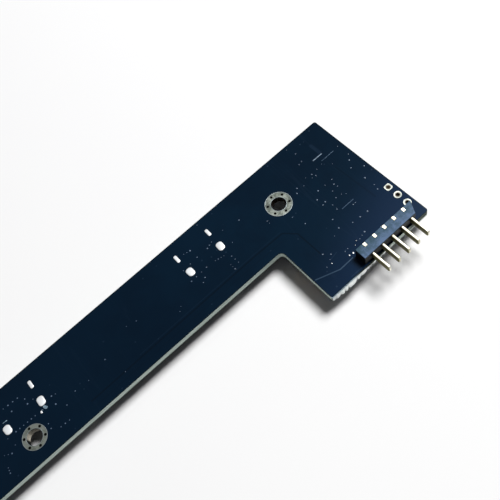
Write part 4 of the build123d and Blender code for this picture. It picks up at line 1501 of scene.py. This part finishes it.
@dataclass
class ComponentFace(Assembly):
    """Everything soldered to the component face, with its pads, fillets and printed outlines.

    A fillet's run is a share of the pad's toe, and its width a share of the foot's.
    """

    pad_margin: float = 0.09
    pad_squareness: float = 0.65
    pad_height: float = 0.04
    pad_length: float = 1.1
    toe: float = 0.3
    toe_rise: float = 0.35
    fillet_shares: Point2 = (0.85, 0.96)
    ink_width: float = 0.14
    ink_height: float = 0.015
    ink_gap: float = 0.3
    joints: list[Surface] = field(default_factory=list)
    outlines: list[Surface] = field(default_factory=list)

    def build(self) -> None:
        """Dress every package and chip, then add pads, fillets and outlines."""
        for package in Package:
            self._package(package)
        for chip in Chip:
            self._chip(chip)
        self.bench.dress(Look.FERRITE_GREY, "inductor_core")
        self.bench.dress(Look.LEAD_TIN, "inductor_terminals")
        self.bench.dress(Look.CERAMIC_PALE, "crystal_base")
        self.bench.dress(Look.CRYSTAL_LID, "crystal_lid")
        self._feet(solid_boxes("inductor_terminals"), node_box("inductor_core"))
        self._frame(node_box("inductor_core"))
        self._frame(node_box("crystal_base"))
        self.bench.add("component_joints", self.joints, Look.SOLDER_JOINT, "solder")
        self.bench.add("printed_outlines", self.outlines, Look.LEGEND_INK, "laminate")

    def _package(self, package: Package) -> None:
        """Dress one moulded package and solder its leads.

        Args:
            package: which one.
        """
        name = package.value
        self.bench.dress(Look.PACKAGE_EPOXY, name + "_body")
        self.bench.dress(Look.LEAD_TIN, name + "_leads")
        body = node_box(name + "_body")
        self._feet(solid_boxes(name + "_leads"), body)
        if package is not Package.CONTROLLER:
            self._frame(body)

    def _chip(self, chip: Chip) -> None:
        """Dress one kind of chip and solder the two ends nearest to each body.

        Args:
            chip: which kind.
        """
        look = {
            Chip.RESISTOR: Look.RESISTOR_GLAZE,
            Chip.CAPACITOR: Look.CERAMIC_TAN,
            Chip.POWER_CAPACITOR: Look.CERAMIC_TAN,
            Chip.LIGHT: Look.LAMP_RESIN,
        }[chip]
        self.bench.dress(look, chip.value + "_bodies")
        self.bench.dress(Look.LEAD_TIN, chip.value + "_ends")
        ends = solid_boxes(chip.value + "_ends")
        for body in solid_boxes(chip.value + "_bodies"):
            far = np.abs(middles(ends) - middles(body)).sum(1)
            pair = ends[np.argsort(far)[:2]]
            self._feet(pair, (body[:3], body[3:]))
            whole = np.vstack([pair, body])
            self._frame((whole[:, :3].min(0), whole[:, 3:].max(0)))

    def _feet(self, feet: np.ndarray, body: Box) -> None:
        """A pad under each foot and a hollow fillet at its toe.

        The toe points away from the body's middle, along the axis on which the foot lies
        further outside the body's box.

        Args:
            feet: box of each foot or end.
            body: box of the body that they carry.
        """
        low, high = body[0][:2], body[1][:2]
        for box in feet:
            near, far, tip = box[:2], box[3:5], middles(box)
            axis = int(np.argmax(np.maximum(far - high, low - near)))
            ahead = tip[axis] > (low[axis] + high[axis]) / 2
            tip[axis] = far[axis] if ahead else near[axis]
            tip[2] = self.face_z
            along, width = (far - near)[axis], (far - near)[1 - axis]
            size = np.array([min(along, self.pad_length) + self.toe, width + 2 * self.pad_margin])
            ring = stadium_ring(*size, 16)
            ring = ring * (1 - self.pad_squareness) + np.sign(ring) * size / 2 * self.pad_squareness
            pad = mound(ring, self.pad_height, fullness=0.4, layers=3, sink=0.01)
            pad = pad.at((self.toe - size[0] / 2, 0, 0))
            rise = min(self.toe_rise, (box[5] - box[2]) / 2)
            run_share, width_share = self.fillet_shares
            fillet = concave_wedge(width * width_share, self.toe * run_share, rise)
            fillet = fillet.at((0, 0, self.pad_height / 2))
            turn = 90 * axis + (0 if ahead else 180)
            self.joints += [part.flipped().at(tip, turn) for part in (pad, fillet)]

    def _frame(self, box: Box) -> None:
        """A printed line along the two long sides of a part.

        Args:
            box: the part's box.
        """
        (x0, y0), (x1, y1) = box[0][:2] - self.ink_gap, box[1][:2] + self.ink_gap
        if x1 - x0 > y1 - y0:
            paths = ((x0, y0), (x1, y0)), ((x0, y1), (x1, y1))
        else:
            paths = ((x0, y0), (x0, y1)), ((x1, y0), (x1, y1))
        for path in paths:
            line = ribbon(path, self.ink_width, self.ink_height, 0.005).flipped()
            self.outlines.append(line.at((0, 0, self.face_z)))


# ---- studio --------------------------------------------------------------------------------------
@dataclass
class Studio:
    """Floor, light and camera.

    Reflections see the surroundings with the mirrored strengths, low down and overhead.
    """

    floor_half_m: float = 1.5
    lamp_distance_m: float = 1.0
    lamp_shift_m: float = -0.02
    lamp_tilt: float = 30.0
    lamp_turn: float = 2.0
    lamp_size_m: float = 0.42
    lamp_power: float = 11.6
    ambient: float = 0.07
    mirrored: Point2 = (0.12, 0.4)
    camera_place: tuple[float, float, float] = (-35.7, -68.28, 123.27)
    camera_azimuth: float = -21.0
    camera_elevation: float = 60.65
    camera_roll: float = 22.64
    lens_mm: float = 51.95

    def build(self) -> None:
        """Set the view transform and add floor, world, lamp and camera."""
        bpy.context.scene.view_settings.view_transform = "Standard"
        self._floor()
        self._world()
        self._lamp()
        self._camera()

    def _floor(self) -> None:
        """A wide pale sheet under the board, at the foot of its tallest part."""
        half, z = self.floor_half_m, node_box("inductor_core")[0][2] * METRES
        mesh = bpy.data.meshes.new("floor")
        corners = [(-half, -half, z), (half, -half, z), (half, half, z), (-half, half, z)]
        mesh.from_pydata(corners, [], [(0, 1, 2, 3)])
        coat = Coat("studio_paper")
        tone = coat.span(coat.noise(coat.place, 6.0), 0.3, 0.7)
        colour = coat.mix(tone, (0.93, 0.93, 0.935), (0.945, 0.945, 0.945))
        coat.plug(coat.shader, {"Base Color": colour, "Roughness": 0.9, "Specular IOR Level": 0.1})
        mesh.materials.append(coat.material)
        floor = bpy.data.objects.new("floor", mesh)
        bpy.context.scene.collection.objects.link(floor)

    def _world(self) -> None:
        """White to the camera, brighter overhead in reflections, and a faint fill elsewhere."""
        world = bpy.data.worlds.new("studio")
        bpy.context.scene.world = world
        world.use_nodes = True
        graph = Graph(world.node_tree)
        rays = graph.node("ShaderNodeLightPath").outputs
        seen = graph.math("MAXIMUM", rays["Is Camera Ray"], rays["Is Transmission Ray"])
        height = graph.split(graph.node("ShaderNodeTexCoord").outputs["Generated"])[2]
        low, high = (share - self.ambient for share in self.mirrored)
        glossy = graph.times(rays["Is Glossy Ray"], graph.span(height, 0.2, 0.95, low, high))
        shares = graph.plus(graph.times(seen, 1.0 - self.ambient), glossy)
        back = {"Strength": graph.plus(shares, self.ambient), "Color": (1, 1, 1, 1)}
        graph.plug(world.node_tree.nodes["Background"], back)

    def _lamp(self) -> None:
        """One large soft lamp, tilted towards the head's end."""
        tilt, turn = math.radians(self.lamp_tilt), math.radians(self.lamp_turn)
        way = Vector((math.sin(tilt) * math.cos(turn), math.sin(tilt) * math.sin(turn), math.cos(tilt)))
        lamp = bpy.data.lights.new("soft_lamp", "AREA")
        lamp.shape = "DISK"
        lamp.size = self.lamp_size_m
        lamp.energy = self.lamp_power
        holder = bpy.data.objects.new("soft_lamp", lamp)
        holder.location = way * self.lamp_distance_m + Vector((self.lamp_shift_m, 0, 0))
        holder.rotation_mode = "QUATERNION"
        holder.rotation_quaternion = (-way).to_track_quat("-Z", "Y")
        bpy.context.scene.collection.objects.link(holder)

    def _camera(self) -> None:
        """The camera, looking along its azimuth and elevation and rolled clockwise."""
        angles = (self.camera_azimuth, self.camera_elevation, self.camera_roll)
        azimuth, elevation, roll = (math.radians(angle) for angle in angles)
        level = math.cos(elevation)
        ahead = Vector((-math.sin(azimuth) * level, math.cos(azimuth) * level, -math.sin(elevation)))
        side = ahead.cross(Vector((0, 0, 1))).normalized()
        right = side * math.cos(roll) + ahead.cross(side) * math.sin(roll)
        lens = bpy.data.cameras.new("camera")
        lens.lens = self.lens_mm
        lens.sensor_width = 36.0
        lens.clip_start, lens.clip_end = 0.005, 20.0
        camera = bpy.data.objects.new("camera", lens)
        turn = Matrix((right, right.cross(ahead), -ahead)).transposed().to_4x4()
        camera.matrix_world = Matrix.Translation(Vector(self.camera_place) * METRES) @ turn
        bpy.context.scene.collection.objects.link(camera)
        bpy.context.scene.camera = camera


def main() -> None:
    """Build the sub-assemblies in order, then the studio."""
    logging.basicConfig(level=logging.INFO, format="%(name)s: %(message)s")
    bench = Bench()
    for assembly in (Board(bench), ScrewLands(bench), SerialPads(bench), PinHeader(bench),
                     *(Receptacle(bench, port) for port in Port), LooseSolder(bench),
                     ComponentFace(bench), Studio()):
        assembly.build()


if __name__ == "__main__":
    main()
